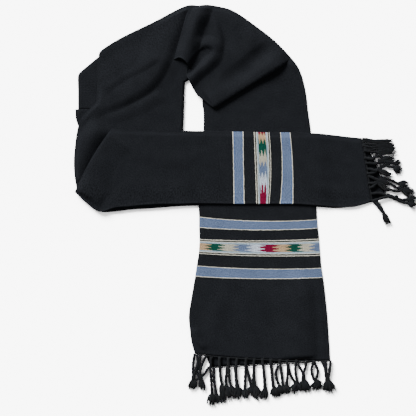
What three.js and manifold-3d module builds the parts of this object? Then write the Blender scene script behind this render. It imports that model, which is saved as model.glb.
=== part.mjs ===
// A fine wool muffler, doubled lengthwise and laid flat in a loop: one end hangs straight down,
// the cloth turns at the top in a pleated crown, comes down on the left, and the other end
// crosses to the right over both strands. Millimetres, +Z up, the underside on z = 0.
import * as THREE from 'three';
import { mergeVertices } from 'three/addons/utils/BufferGeometryUtils.js';
import Module from 'manifold-3d';

// Driving sizes of the cloth.
const WALL = 1.5; // one layer of cloth
const SEAM = 0.3; // clearance between two layers
const PLY = WALL + SEAM; // rise from one layer to the next
const FOLD_RADIUS = WALL + SEAM / 2; // outside of the lengthwise fold
const FOLD_CALM = 22; // width beside a lengthwise fold that stays flat
const TUCK = 8; // cloth turned under at the two folds of the crown

// Driving sizes of the fringe.
const STRIP_WIDTH = 4; // knotted edge that carries the cords
const CORD_RADIUS = 1.6;
const FLOOR_CLEARANCE = 0.5; // the fringe ends just above the floor

// Levels of the underside of each stretch.
const ON_FLOOR = 0;
const ON_ONE_LAYER = PLY;
const ON_RIGHT_STRAND = 2 * PLY;
const ON_LEFT_STRAND = 3 * PLY;

// The plan's centre, so that the origin is under the middle of the whole muffler.
const CENTRE = { x: -0.15, y: 0.48 };

const CLOTH = { color: 0x1c1f23, roughness: 0.92, metalness: 0 };
const FRINGE = { color: 0x17191c, roughness: 0.95, metalness: 0 };

// Each row is one section across a stretch: the edge of its upper layer, the lengthwise fold,
// the edge of its under layer, and the height of its underside. Bow is how far the section's
// middle leads its ends.
const LOWER_TAIL = [
  { edge: [-120, 95.15], fold: [164, 95.15], under: [-120, 95.15], level: ON_FLOOR },
  { edge: [-128, 3], fold: [171, 3], under: [-127, 3], level: ON_FLOOR },
  { edge: [-126, -86], fold: [178, -86], under: [-125, -86], level: ON_FLOOR },
  { edge: [-128, -121], fold: [181, -124], under: [-127, -121], level: ON_FLOOR },
  { edge: [-136, -177], fold: [188, -180], under: [-135, -177], level: ON_FLOOR },
  { edge: [-146, -230], fold: [194, -230], under: [-145, -230], level: ON_FLOOR },
  { edge: [-153, -278], fold: [199, -280], under: [-152, -278], level: ON_FLOOR },
  { edge: [-150, -316], fold: [202, -325], under: [-148, -320], level: ON_FLOOR },
  { edge: [-148, -335], fold: [204, -352], under: [-136, -345], level: ON_FLOOR, bow: 2 },
  { edge: [-144, -354], fold: [205, -372], under: [-114, -370], level: ON_FLOOR, bow: 4 },
  { edge: [-138, -374], fold: [206, -391], under: [-99, -409], level: ON_FLOOR, bow: 5 },
];

const RIGHT_STRAND = [
  { edge: [-120, 95.45], fold: [164, 95.45], under: [-120, 95.45], level: ON_FLOOR },
  { edge: [-116, 188], fold: [157, 188], under: [-116, 188], level: ON_FLOOR },
  { edge: [-116, 239], fold: [150, 240], under: [-116, 239], level: ON_FLOOR },
  { edge: [-119, 265], fold: [142, 300], under: [-119, 265], level: ON_FLOOR },
  { edge: [-110, 288], fold: [126, 351], under: [-110, 288], level: ON_FLOOR },
  { edge: [-92, 314], fold: [99, 386], under: [-92, 314], level: ON_FLOOR },
  { edge: [-62, 344], fold: [64, 422], under: [-62, 344], level: ON_FLOOR },
];

const LEFT_STRAND = [
  { edge: [-152, 356], fold: [-128, 509], under: [-152, 356], level: ON_ONE_LAYER },
  { edge: [-156, 344], fold: [-154, 510], under: [-156, 344], level: ON_ONE_LAYER },
  { edge: [-159, 334], fold: [-245, 466], under: [-159, 334], level: ON_ONE_LAYER },
  { edge: [-160, 326], fold: [-336, 421], under: [-160, 326], level: ON_ONE_LAYER },
  { edge: [-162, 317], fold: [-376, 394.5], under: [-162, 317], level: ON_ONE_LAYER },
  { edge: [-162, 315], fold: [-380, 389], under: [-162, 315], level: ON_ONE_LAYER },
  { edge: [-163, 303], fold: [-385, 345], under: [-163, 303], level: ON_ONE_LAYER },
  { edge: [-164, 284], fold: [-386, 296], under: [-164, 284], level: ON_ONE_LAYER },
  { edge: [-164, 266], fold: [-389, 264], under: [-164, 266], level: ON_ONE_LAYER },
  { edge: [-165, 246], fold: [-409, 242], under: [-165, 246], level: ON_ONE_LAYER },
  { edge: [-165.5, 226], fold: [-428, 218], under: [-165.5, 226], level: ON_ONE_LAYER },
  { edge: [-167, 192], fold: [-437, 187], under: [-167, 192], level: ON_ONE_LAYER },
  { edge: [-172, 148], fold: [-443, 143], under: [-172, 148], level: ON_FLOOR },
  { edge: [-175, 112], fold: [-445, 112], under: [-175, 112], level: ON_FLOOR },
  { edge: [-178, 78], fold: [-443, 75], under: [-178, 78], level: ON_FLOOR },
  { edge: [-180, 46], fold: [-438, 46], under: [-180, 46], level: ON_FLOOR },
];

const CROSS_TAIL = [
  { edge: [-440, 34], fold: [-345, 197], under: [-438, 35], level: ON_LEFT_STRAND, bow: -6, underBow: -6 },
  { edge: [-412, 8], fold: [-318, 195], under: [-411, 9], level: ON_LEFT_STRAND, bow: -3, underBow: -3 },
  { edge: [-378, -14], fold: [-290, 194], under: [-377, -14], level: ON_LEFT_STRAND },
  { edge: [-342, -4], fold: [-262, 193], under: [-342, -14], level: ON_LEFT_STRAND },
  { edge: [-300, 0], fold: [-235, 193], under: [-300, -9], level: ON_LEFT_STRAND },
  { edge: [-238, 5], fold: [-204, 192], under: [-238, -5], level: ON_LEFT_STRAND },
  { edge: [-172, 6], fold: [-172, 192], under: [-172, 0], level: ON_LEFT_STRAND },
  { edge: [-140, 7], fold: [-140, 191], under: [-140, 1], level: 4.6 },
  { edge: [-108, 7], fold: [-108, 191], under: [-108, 2], level: 3.9 },
  { edge: [-56, 7], fold: [-56, 190], under: [-56, 3], level: ON_RIGHT_STRAND },
  { edge: [40, 7], fold: [40, 188], under: [40, 3], level: ON_RIGHT_STRAND },
  { edge: [109, 7], fold: [109, 187], under: [109, 3], level: ON_RIGHT_STRAND },
  { edge: [173, 2], fold: [173, 185], under: [174, -2], level: ON_RIGHT_STRAND },
  { edge: [222, -2], fold: [222, 180], under: [226, -5], level: ON_FLOOR },
  { edge: [270, -1], fold: [256, 176], under: [286, 3], level: ON_FLOOR },
  { edge: [310, 13], fold: [286, 173], under: [347, 22], level: ON_FLOOR, underBow: 9 },
];

// Sections of the crown, from its left fold to its lower fold. Drop is how far the outer edge
// comes down from the crown's level.
const CROWN = [
  { edge: [-188, 372], outer: [-152, 506], level: ON_LEFT_STRAND, drop: 0 },
  { edge: [-178, 375], outer: [-131, 508], level: ON_LEFT_STRAND, drop: 0 },
  { edge: [-163, 367], outer: [-109, 511], level: ON_LEFT_STRAND, drop: 1.5 },
  { edge: [-154, 352], outer: [-76, 507], level: ON_LEFT_STRAND, drop: 5 },
  { edge: [-159, 334], outer: [-46, 499], level: ON_LEFT_STRAND, drop: 5.4 },
  { edge: [-151, 316], outer: [-18, 483], level: ON_LEFT_STRAND, drop: 5.4 },
  { edge: [-139, 292], outer: [22, 454], level: ON_RIGHT_STRAND, drop: 3 },
  { edge: [-128, 278], outer: [54, 429], level: ON_RIGHT_STRAND, drop: 0 },
  { edge: [-113, 267], outer: [88, 396], level: ON_RIGHT_STRAND, drop: 0 },
  { edge: [-93, 250], outer: [108, 366], level: ON_RIGHT_STRAND, drop: 0 },
];

// Flat under layers that show past a stretch.
const LEFT_UNDER = [
  { edge: [-260, 392], outer: [-384, 378], level: ON_FLOOR, drop: 0 },
  { edge: [-260, 360], outer: [-409, 357], level: ON_FLOOR, drop: 0 },
  { edge: [-260, 338], outer: [-431, 338], level: ON_FLOOR, drop: 0 },
  { edge: [-260, 332], outer: [-434, 332], level: ON_FLOOR, drop: 0 },
  { edge: [-260, 290], outer: [-434, 290], level: ON_FLOOR, drop: 0 },
  { edge: [-260, 248], outer: [-434, 248], level: ON_FLOOR, drop: 0 },
];

const LEFT_TIP = [
  { edge: [-330, 247.6], outer: [-441, 246], level: ON_FLOOR, drop: 0 },
  { edge: [-330, 226], outer: [-440, 223], level: ON_FLOOR, drop: 0 },
  { edge: [-330, 206], outer: [-434, 204], level: ON_FLOOR, drop: 0 },
];

// Folds of each stretch: the path of a ridge, its height, its half width, and how steep its
// right-hand side is against the left (1 is even). A trough has a negative height.
const LOWER_TAIL_FOLDS = [
  { path: [[150, -190], [163, -290], [160, -391]], height: 2.2, width: 26, steep: 1 },
  { path: [[-60, -200], [-95, -330], [-104, -377]], height: 1.6, width: 34, steep: 1 },
  { path: [[-122, -318], [-104, -350], [-92, -377]], height: 1.4, width: 14, steep: 1 },
];

const RIGHT_STRAND_FOLDS = [
  { path: [[24, 232], [16, 252], [14, 266]], height: 1.2, width: 30, steep: 1 },
];

const LEFT_STRAND_FOLDS = [
  { path: [[-378, 290], [-347, 315], [-322, 332], [-274, 355], [-236, 378]], height: 4.5, width: 60, steep: 0.3 },
  { path: [[-436, 216], [-384, 250], [-301, 284], [-266, 305], [-210, 346]], height: 8, width: 30, steep: 0.65 },
  { path: [[-370, 226], [-318, 237], [-270, 257], [-202, 291]], height: 2.4, width: 17, steep: 1.5 },
  { path: [[-190, 490], [-206, 456], [-220, 415], [-236, 376]], height: 6, width: 28, steep: 1.6 },
  { path: [[-364, 208], [-388, 178], [-413, 147], [-430, 113], [-438, 82]], height: 6, width: 14, steep: 1.5 },
];

const CROSS_TAIL_FOLDS = [
  { path: [[-398, 100], [-372, 60], [-330, 20]], height: 2.4, width: 24, steep: 1 },
  { path: [[-350, 170], [-250, 130], [-90, 120]], height: 1.8, width: 34, steep: 1 },
  { path: [[150, 60], [210, 40], [300, 40]], height: 1.6, width: 24, steep: 1 },
];

const CROWN_FOLDS = [
  { path: [[-128, 525], [-134, 483], [-140, 456], [-151, 415], [-168, 356]], height: 10, width: 26, steep: 1.3 },
  { path: [[-102, 490], [-97, 469], [-85, 437], [-79, 409], [-86, 380]], height: 5, width: 15, steep: 2.4 },
  { path: [[-76, 416], [-91, 388], [-105, 366], [-146, 322], [-164, 302]], height: 7, width: 24, steep: 0.75 },
  { path: [[128, 382], [89, 368], [53, 344], [-1, 312], [-98, 253]], height: 10, width: 20, steep: 2.6 },
];

// Cords of the fringe: where each leaves the hem, where its tassel begins and ends, and the
// tassel's half width. The tail's upper layer first, then its under layer.
const LOWER_FRINGE_TOP = [
  { root: [-134, -376], head: [-143, -440], tip: [-148, -467], half: 3.6 },
  { root: [-114, -380], head: [-130, -441], tip: [-131, -467], half: 3.4 },
  { root: [-92, -381], head: [-92, -462], tip: [-95, -508], half: 4.6 },
  { root: [-75, -382], head: [-69, -452], tip: [-68, -478], half: 4.2 },
  { root: [-51, -384], head: [-51, -466], tip: [-51, -494], half: 4 },
  { root: [-30, -386], head: [-34, -456], tip: [-33, -490], half: 4 },
  { root: [-8, -387], head: [-13, -462], tip: [-12, -491], half: 4 },
  { root: [12, -388], head: [3, -452], tip: [4, -482], half: 4 },
  { root: [33, -389], head: [19, -462], tip: [20, -493], half: 4 },
  { root: [53, -390], head: [37, -452], tip: [39, -490], half: 4 },
  { root: [76, -391], head: [60, -452], tip: [60, -487], half: 4.4 },
  { root: [96, -392], head: [85, -448], tip: [87, -479], half: 3.8 },
  { root: [115, -393], head: [103, -448], tip: [104, -478], half: 3.4 },
  { root: [133, -393], head: [121, -444], tip: [123, -470], half: 3.6 },
  { root: [149, -393], head: [143, -446], tip: [144, -477], half: 3.8 },
  { root: [167, -393], head: [159, -440], tip: [160, -470], half: 3.4 },
  { root: [175, -393], head: [169, -446], tip: [170, -472], half: 3 },
  { root: [183, -393], head: [180, -440], tip: [181, -469], half: 3.4 },
  { root: [191, -393], head: [190, -444], tip: [190, -474], half: 3.6 },
  { root: [199, -393], head: [201, -446], tip: [200, -478], half: 4.2 },
];

const LOWER_FRINGE_UNDER = [
  { root: [-97.4, -413], head: [-117, -444], tip: [-121, -467], half: 3.8 },
  { root: [-84, -413], head: [-82, -466], tip: [-82, -510], half: 4.6 },
  { root: [-66, -413], head: [-58, -472], tip: [-60, -502], half: 3.4 },
  { root: [-42, -411], head: [-42.5, -468], tip: [-42.5, -496], half: 3 },
  { root: [-20, -410], head: [-25, -462], tip: [-24, -493], half: 3.8 },
  { root: [0, -409], head: [-4, -468], tip: [-4, -493], half: 3.6 },
  { root: [20, -408], head: [11, -456], tip: [12, -484], half: 3.4 },
  { root: [42, -407], head: [29, -464], tip: [29, -494], half: 3.8 },
  { root: [64, -406], head: [47, -458], tip: [48, -492], half: 3.8 },
  { root: [86, -404], head: [74, -456], tip: [73, -485], half: 4.2 },
  { root: [105, -403], head: [94, -454], tip: [95, -480], half: 3 },
  { root: [124, -402], head: [112, -452], tip: [112, -478], half: 3 },
  { root: [141, -400], head: [130, -446], tip: [132, -472], half: 3.2 },
  { root: [158, -398], head: [151, -448], tip: [152, -476], half: 3 },
];

const CROSS_FRINGE_TOP = [
  { root: [290, 166], head: [340, 167], tip: [363, 167], half: 2.9 },
  { root: [292, 153], head: [342, 155], tip: [366, 157], half: 3 },
  { root: [294, 139], head: [344, 143], tip: [370, 145], half: 3 },
  { root: [297, 124], head: [346, 130], tip: [371, 132], half: 3 },
  { root: [300, 109], head: [350, 116], tip: [376, 118], half: 3 },
  { root: [302, 95], head: [356, 104], tip: [384, 105], half: 3.4 },
  { root: [303, 79], head: [358, 88], tip: [388, 91], half: 3.4 },
  { root: [306, 62], head: [346, 72], tip: [368, 76], half: 3 },
  { root: [311, 47], head: [350, 55], tip: [366, 55], half: 5 },
  { root: [315, 33], head: [386, 53], tip: [418, 34], half: 5 },
  { root: [316, 20], head: [402, 19], tip: [444.5, 9], half: 5 },
  { root: [315, 17], head: [347, -18], tip: [359, -43], half: 3.6 },
  { root: [314, 13], head: [337, -22], tip: [346, -47], half: 3.6 },
];

const CROSS_FRINGE_UNDER = [
  { root: [310, 147], head: [343, 149], tip: [366, 151], half: 2.2 },
  { root: [322, 134], head: [346, 136.6], tip: [370, 138.4], half: 2.2 },
  { root: [329, 120.5], head: [350, 123.5], tip: [374, 124.8], half: 2.2 },
  { root: [334, 106.3], head: [354, 110.4], tip: [378, 111.5], half: 2.2 },
  { root: [334, 92.2], head: [358, 96.3], tip: [386, 98], half: 2.4 },
  { root: [336, 77.4], head: [354, 80.4], tip: [374, 83], half: 2.2 },
  { root: [352, 33], head: [386, 43], tip: [408, 26], half: 3 },
];

const wasm = await Module();
wasm.setup();

const clamp = THREE.MathUtils.clamp;
const lerp = THREE.MathUtils.lerp;
const smooth = (value) => THREE.MathUtils.smoothstep(value, 0, 1);

/** Smooth plan curve through one column of a table. */
function columnCurve(rows, column) {
  const points = rows.map((row) => new THREE.Vector3(...row[column], 0));
  return new THREE.CatmullRomCurve3(points, false, 'centripetal');
}

/** Value of one column between two rows, easing from one row to the next. */
function columnValue(rows, column, place) {
  const first = Math.min(Math.floor(place), rows.length - 2);
  const share = smooth(place - first);
  return lerp(rows[first][column] ?? 0, rows[first + 1][column] ?? 0, share);
}

/** Places along a table, counted in rows, about one every pitch. */
function stationsOf(rows, column, pitch) {
  const stations = [0];
  for (let row = 0; row < rows.length - 1; row += 1) {
    const [x0, y0] = rows[row][column];
    const [x1, y1] = rows[row + 1][column];
    const count = Math.max(1, Math.round(Math.hypot(x1 - x0, y1 - y0) / pitch));
    for (let step = 1; step <= count; step += 1) {
      stations.push(row + step / count);
    }
  }
  return stations;
}

/** Nearest place on a plan path: signed distance from it and the distance to its ends. */
function nearestOnPath(path, x, y) {
  let best = { distance: Infinity, toStart: 0, side: 1 };
  let walked = 0;
  for (let index = 0; index < path.length - 1; index += 1) {
    const [x0, y0] = path[index];
    const [x1, y1] = path[index + 1];
    const length = Math.hypot(x1 - x0, y1 - y0);
    const ux = (x1 - x0) / length;
    const uy = (y1 - y0) / length;
    const along = clamp((x - x0) * ux + (y - y0) * uy, 0, length);
    const dx = x - x0 - ux * along;
    const dy = y - y0 - uy * along;
    const distance = Math.hypot(dx, dy);
    if (distance < best.distance) {
      const side = dx * uy - dy * ux > 0 ? 1 : -1;
      best = { distance, toStart: walked + along, side };
    }
    walked += length;
  }
  return { ...best, toEnd: walked - best.toStart };
}

/** Height that the folds add at a place; each fold tapers off towards its ends. */
function foldHeight(folds, x, y) {
  let height = 0;
  for (const fold of folds) {
    const near = nearestOnPath(fold.path, x, y);
    const width = near.side > 0 ? fold.width * fold.steep : fold.width;
    if (near.distance < width) {
      const crest = 0.5 + 0.5 * Math.cos((Math.PI * near.distance) / width);
      const taper = smooth(0.25 + Math.min(near.toStart, near.toEnd) / 40);
      height += fold.height * crest * taper;
    }
  }
  return height;
}

/** Closed solid between two grids of points, one on each face of a wall. */
function closedWall(outer, inner) {
  const rows = outer.length;
  const columns = outer[0].length;
  const positions = [];
  for (const grid of [outer, inner]) {
    for (const row of grid) {
      for (const point of row) {
        positions.push(point[0] - CENTRE.x, point[1] - CENTRE.y, point[2]);
      }
    }
  }
  const at = (face, row, column) => (face * rows + row) * columns + column;
  const index = [];
  const quad = (a, b, c, d) => index.push(a, b, c, a, c, d);
  for (let i = 0; i < rows - 1; i += 1) {
    for (let j = 0; j < columns - 1; j += 1) {
      quad(at(0, i, j), at(0, i, j + 1), at(0, i + 1, j + 1), at(0, i + 1, j));
      quad(at(1, i, j), at(1, i + 1, j), at(1, i + 1, j + 1), at(1, i, j + 1));
    }
    quad(at(0, i, 0), at(0, i + 1, 0), at(1, i + 1, 0), at(1, i, 0));
    quad(at(0, i, columns - 1), at(1, i, columns - 1), at(1, i + 1, columns - 1), at(0, i + 1, columns - 1));
  }
  for (let j = 0; j < columns - 1; j += 1) {
    quad(at(0, 0, j), at(1, 0, j), at(1, 0, j + 1), at(0, 0, j + 1));
    quad(at(0, rows - 1, j), at(0, rows - 1, j + 1), at(1, rows - 1, j + 1), at(1, rows - 1, j));
  }
  return solidGeometry(positions, index);
}

/** Geometry from points and triangles, turned over where its faces point in. */
function solidGeometry(positions, index) {
  const point = (i) => new THREE.Vector3().fromArray(positions, 3 * i);
  let volume = 0;
  for (let i = 0; i < index.length; i += 3) {
    volume += point(index[i]).dot(point(index[i + 1]).cross(point(index[i + 2])));
  }
  const turned = volume < 0 ? index.slice().reverse() : index;
  const geometry = new THREE.BufferGeometry();
  geometry.setAttribute('position', new THREE.Float32BufferAttribute(positions, 3));
  geometry.setIndex(turned);
  return geometry;
}

/** Plan point of a section, its middle led forward by the section's bow. */
function sectionPoint(from, to, share, bow) {
  const dx = to.x - from.x;
  const dy = to.y - from.y;
  const length = Math.hypot(dx, dy);
  const lead = 4 * bow * share * (1 - share);
  return [from.x + dx * share + (dy / length) * lead, from.y + dy * share - (dx / length) * lead];
}

/** Stretch of doubled cloth: one wall folded lengthwise, its two edges lying on each other. */
function doubledStretch(rows, folds, { topSteps, underSteps, pitch }) {
  const edge = columnCurve(rows, 'edge');
  const fold = columnCurve(rows, 'fold');
  const under = columnCurve(rows, 'under');
  const outer = [];
  const inner = [];
  for (const place of stationsOf(rows, 'fold', pitch)) {
    const share = place / (rows.length - 1);
    const from = edge.getPoint(share);
    const nose = fold.getPoint(share);
    const underFrom = under.getPoint(share);
    const level = columnValue(rows, 'level', place);
    const across = nose.clone().sub(from).normalize();
    const turn = nose.clone().addScaledVector(across, -FOLD_RADIUS);
    const outerRow = [];
    const innerRow = [];
    for (let step = 0; step <= topSteps; step += 1) {
      const [x, y] = sectionPoint(from, turn, step / topSteps, columnValue(rows, 'bow', place));
      const calm = smooth(Math.hypot(x - turn.x, y - turn.y) / FOLD_CALM);
      const height = level + PLY + foldHeight(folds, x, y) * calm;
      outerRow.push([x, y, height + WALL]);
      innerRow.push([x, y, height]);
    }
    for (const angle of [45, 0, -45]) {
      const out = Math.cos(THREE.MathUtils.degToRad(angle));
      const up = Math.sin(THREE.MathUtils.degToRad(angle));
      for (const [row, radius] of [[outerRow, FOLD_RADIUS], [innerRow, SEAM / 2]]) {
        const x = turn.x + across.x * radius * out;
        const y = turn.y + across.y * radius * out;
        row.push([x, y, level + FOLD_RADIUS + radius * up]);
      }
    }
    for (let step = underSteps; step >= 0; step -= 1) {
      const bow = columnValue(rows, 'underBow', place);
      const [x, y] = sectionPoint(underFrom, turn, step / underSteps, bow);
      outerRow.push([x, y, level]);
      innerRow.push([x, y, level + WALL]);
    }
    outer.push(outerRow);
    inner.push(innerRow);
  }
  return closedWall(outer, inner);
}

/** Grid rows that carry one end of a wall round and back under itself, from the end outwards. */
function turnedUnder(end, before, floor) {
  const turned = [];
  for (const [angle, back] of [[60, 0], [120, 0], [180, 0], [180, TUCK]]) {
    const turn = THREE.MathUtils.degToRad(angle);
    const faces = [[], []];
    end.forEach(([x, y, top], column) => {
      const [bx, by] = before[column];
      const reach = Math.hypot(x - bx, y - by);
      const radius = (top - floor) / 2;
      [radius, radius - WALL].forEach((size, face) => {
        const out = (Math.sin(turn) * size - back) / reach;
        const z = floor + radius + Math.cos(turn) * size;
        faces[face].push([x + (x - bx) * out, y + (y - by) * out, z]);
      });
    });
    turned.push(faces);
  }
  return turned;
}

/** Stretch of single cloth from its inner edge to its outer one, which may come down. */
function singleStretch(rows, folds, { steps, pitch, tucked }) {
  const edge = columnCurve(rows, 'edge');
  const outerEdge = columnCurve(rows, 'outer');
  const endSections = [0, 1].map((share) => [edge.getPoint(share), outerEdge.getPoint(share)]);
  const upper = [];
  const lower = [];
  for (const place of stationsOf(rows, 'outer', pitch)) {
    const share = place / (rows.length - 1);
    const from = edge.getPoint(share);
    const to = outerEdge.getPoint(share);
    const level = columnValue(rows, 'level', place);
    const drop = columnValue(rows, 'drop', place);
    const upperRow = [];
    const lowerRow = [];
    for (let step = 0; step <= steps; step += 1) {
      const [x, y] = sectionPoint(from, to, step / steps, 0);
      const fromOuter = Math.hypot(x - to.x, y - to.y);
      const down = drop * (1 - smooth(fromOuter / 16));
      const ends = endSections.map((section) => sectionPoint(...section, step / steps, 0));
      const fromEnd = Math.min(...ends.map(([ex, ey]) => Math.hypot(x - ex, y - ey)));
      const overTuck = tucked ? PLY * (1 - smooth((fromEnd - TUCK) / 16)) : 0;
      const ridge = foldHeight(folds, x, y) * smooth(fromOuter / 12);
      const height = level - down + Math.max(ridge, overTuck);
      upperRow.push([x, y, height + WALL]);
      lowerRow.push([x, y, height]);
    }
    upper.push(upperRow);
    lower.push(lowerRow);
  }
  if (tucked) {
    const first = turnedUnder(upper[0], upper[1], rows[0].level);
    const last = turnedUnder(upper.at(-1), upper.at(-2), rows.at(-1).level);
    upper.unshift(...first.map((faces) => faces[0]).reverse());
    lower.unshift(...first.map((faces) => faces[1]).reverse());
    upper.push(...last.map((faces) => faces[0]));
    lower.push(...last.map((faces) => faces[1]));
  }
  return closedWall(upper, lower);
}

/** Points of a hem from its edge towards the fold, as far as a share of its length. */
function hemLine(rows, column, bowColumn, reach, steps) {
  const last = rows[rows.length - 1];
  const from = new THREE.Vector2(...last[column]);
  const to = new THREE.Vector2(...last.fold);
  const line = [];
  for (let step = 0; step <= steps; step += 1) {
    line.push(sectionPoint(from, to, (reach * step) / steps, last[bowColumn] ?? 0));
  }
  return line;
}

/** Strip along a hem that carries its cords, clear of the cloth by one seam. */
function hemStrip(line, bottom) {
  const upper = [];
  const lower = [];
  line.forEach((point, index) => {
    const before = line[Math.max(index - 1, 0)];
    const after = line[Math.min(index + 1, line.length - 1)];
    const dx = after[0] - before[0];
    const dy = after[1] - before[1];
    const length = Math.hypot(dx, dy);
    const away = [dy / length, -dx / length];
    const places = [SEAM, SEAM + STRIP_WIDTH].map((out) => [point[0] + away[0] * out, point[1] + away[1] * out]);
    upper.push(places.map(([x, y]) => [x, y, bottom + WALL]));
    lower.push(places.map(([x, y]) => [x, y, bottom]));
  });
  return closedWall(upper, lower);
}

/** Place on the middle of a hem's strip that is nearest to a cord's root. */
function rootOnStrip(line, [x, y]) {
  const near = nearestOnPath(line, x, y);
  const curve = new THREE.CurvePath();
  for (let index = 0; index < line.length - 1; index += 1) {
    const ends = [line[index], line[index + 1]].map((end) => new THREE.Vector2(...end));
    curve.add(new THREE.LineCurve(...ends));
  }
  const share = clamp(near.toStart / (near.toStart + near.toEnd), 0.006, 0.994);
  const foot = curve.getPointAt(share);
  const along = curve.getTangentAt(share);
  const out = SEAM + STRIP_WIDTH / 2;
  return [foot.x + along.y * out, foot.y - along.x * out];
}

/** Cord from the hem that swells into a tassel, four-sided, closed at both ends. */
function fringeCord({ head, tip, half }, root, rootHeight) {
  const stations = [
    { share: 0, radius: CORD_RADIUS },
    { share: 0.5, radius: CORD_RADIUS },
    { share: 1, radius: CORD_RADIUS * 1.1 },
    { share: 1.35, radius: half },
    { share: 1.8, radius: half * 0.95 },
    { share: 2, radius: half * 0.5 },
  ];
  const positions = [];
  const index = [];
  stations.forEach(({ share, radius }, ring) => {
    const [from, to] = share <= 1 ? [root, head] : [head, tip];
    const along = share <= 1 ? share : share - 1;
    const x = lerp(from[0], to[0], along);
    const y = lerp(from[1], to[1], along);
    const z = Math.max(rootHeight, radius + FLOOR_CLEARANCE);
    const dx = tip[0] - root[0];
    const dy = tip[1] - root[1];
    const length = Math.hypot(dx, dy);
    const sideways = [-dy / length, dx / length];
    for (const [side, up] of [[1, 0], [0, 1], [-1, 0], [0, -1]]) {
      const px = x + sideways[0] * radius * side;
      const py = y + sideways[1] * radius * side;
      positions.push(px - CENTRE.x, py - CENTRE.y, z + radius * up);
    }
    if (ring > 0) {
      for (let corner = 0; corner < 4; corner += 1) {
        const a = (ring - 1) * 4 + corner;
        const b = (ring - 1) * 4 + ((corner + 1) % 4);
        index.push(a, b, b + 4, a, b + 4, a + 4);
      }
    }
  });
  const last = (stations.length - 1) * 4;
  index.push(0, 2, 1, 0, 3, 2, last, last + 1, last + 2, last, last + 2, last + 3);
  return solidGeometry(positions, index);
}

/** Solid of the joining library from a closed geometry. */
function toManifold(geometry) {
  const bare = mergeVertices(geometry, 1e-4);
  return new wasm.Manifold(new wasm.Mesh({
    numProp: 3,
    vertProperties: new Float32Array(bare.attributes.position.array),
    triVerts: new Uint32Array(bare.index.array),
  }));
}

/** Fringe of one layer: its cords joined to the strip that carries them. */
function fringe(line, cords, stripBottom, cordHeight) {
  let whole = toManifold(hemStrip(line, stripBottom));
  for (const cord of cords) {
    const root = rootOnStrip(line, cord.root);
    whole = whole.add(toManifold(fringeCord(cord, root, cordHeight)));
  }
  const mesh = whole.getMesh();
  const geometry = new THREE.BufferGeometry();
  geometry.setAttribute('position', new THREE.Float32BufferAttribute(mesh.vertProperties, 3));
  geometry.setIndex(Array.from(mesh.triVerts));
  return geometry;
}

/** Named piece with a material of its own. */
function piece(name, geometry, finish) {
  geometry.computeVertexNormals();
  const mesh = new THREE.Mesh(geometry, new THREE.MeshStandardMaterial(finish));
  mesh.name = name;
  return mesh;
}

const muffler = new THREE.Group();
muffler.name = 'muffler';

const plain = { topSteps: 12, underSteps: 3, pitch: 26 };
const lowerTail = doubledStretch(LOWER_TAIL, LOWER_TAIL_FOLDS, plain);
const rightStrand = doubledStretch(RIGHT_STRAND, RIGHT_STRAND_FOLDS, { ...plain, topSteps: 10 });
const leftStrand = doubledStretch(LEFT_STRAND, LEFT_STRAND_FOLDS, { topSteps: 15, underSteps: 3, pitch: 21 });
const crossTail = doubledStretch(CROSS_TAIL, CROSS_TAIL_FOLDS, { topSteps: 10, underSteps: 3, pitch: 24 });
const crown = singleStretch(CROWN, CROWN_FOLDS, { steps: 16, pitch: 11, tucked: true });

muffler.add(piece('lower_tail', lowerTail, CLOTH));
muffler.add(piece('right_strand', rightStrand, CLOTH));
muffler.add(piece('left_strand', leftStrand, CLOTH));
muffler.add(piece('cross_tail', crossTail, CLOTH));
muffler.add(piece('crown', crown, CLOTH));
muffler.add(piece('left_under', singleStretch(LEFT_UNDER, [], { steps: 3, pitch: 30 }), CLOTH));
muffler.add(piece('left_tip', singleStretch(LEFT_TIP, [], { steps: 2, pitch: 30 }), CLOTH));

const topStrip = ON_ONE_LAYER + SEAM;
const topCord = topStrip + CORD_RADIUS;
const underCord = FLOOR_CLEARANCE + CORD_RADIUS;
const lowerHem = hemLine(LOWER_TAIL, 'edge', 'bow', 0.99, 8);
const lowerUnderHem = hemLine(LOWER_TAIL, 'under', 'underBow', 0.86, 8);
const crossHem = hemLine(CROSS_TAIL, 'edge', 'bow', 0.99, 6);
const crossUnderHem = hemLine(CROSS_TAIL, 'under', 'underBow', 0.86, 8);
muffler.add(piece('lower_fringe_top', fringe(lowerHem, LOWER_FRINGE_TOP, topStrip, topCord), FRINGE));
muffler.add(piece('lower_fringe_under', fringe(lowerUnderHem, LOWER_FRINGE_UNDER, SEAM, underCord), FRINGE));
muffler.add(piece('cross_fringe_top', fringe(crossHem, CROSS_FRINGE_TOP, topStrip, topCord), FRINGE));
muffler.add(piece('cross_fringe_under', fringe(crossUnderHem, CROSS_FRINGE_UNDER, SEAM, underCord), FRINGE));

export default muffler;
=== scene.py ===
"""A fine wool muffler, doubled lengthwise and laid flat in a loop, dressed over its frame."""

import logging
import math
import random
from dataclasses import dataclass, field
from enum import Enum

import bmesh
import bpy
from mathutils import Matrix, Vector, noise


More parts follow.
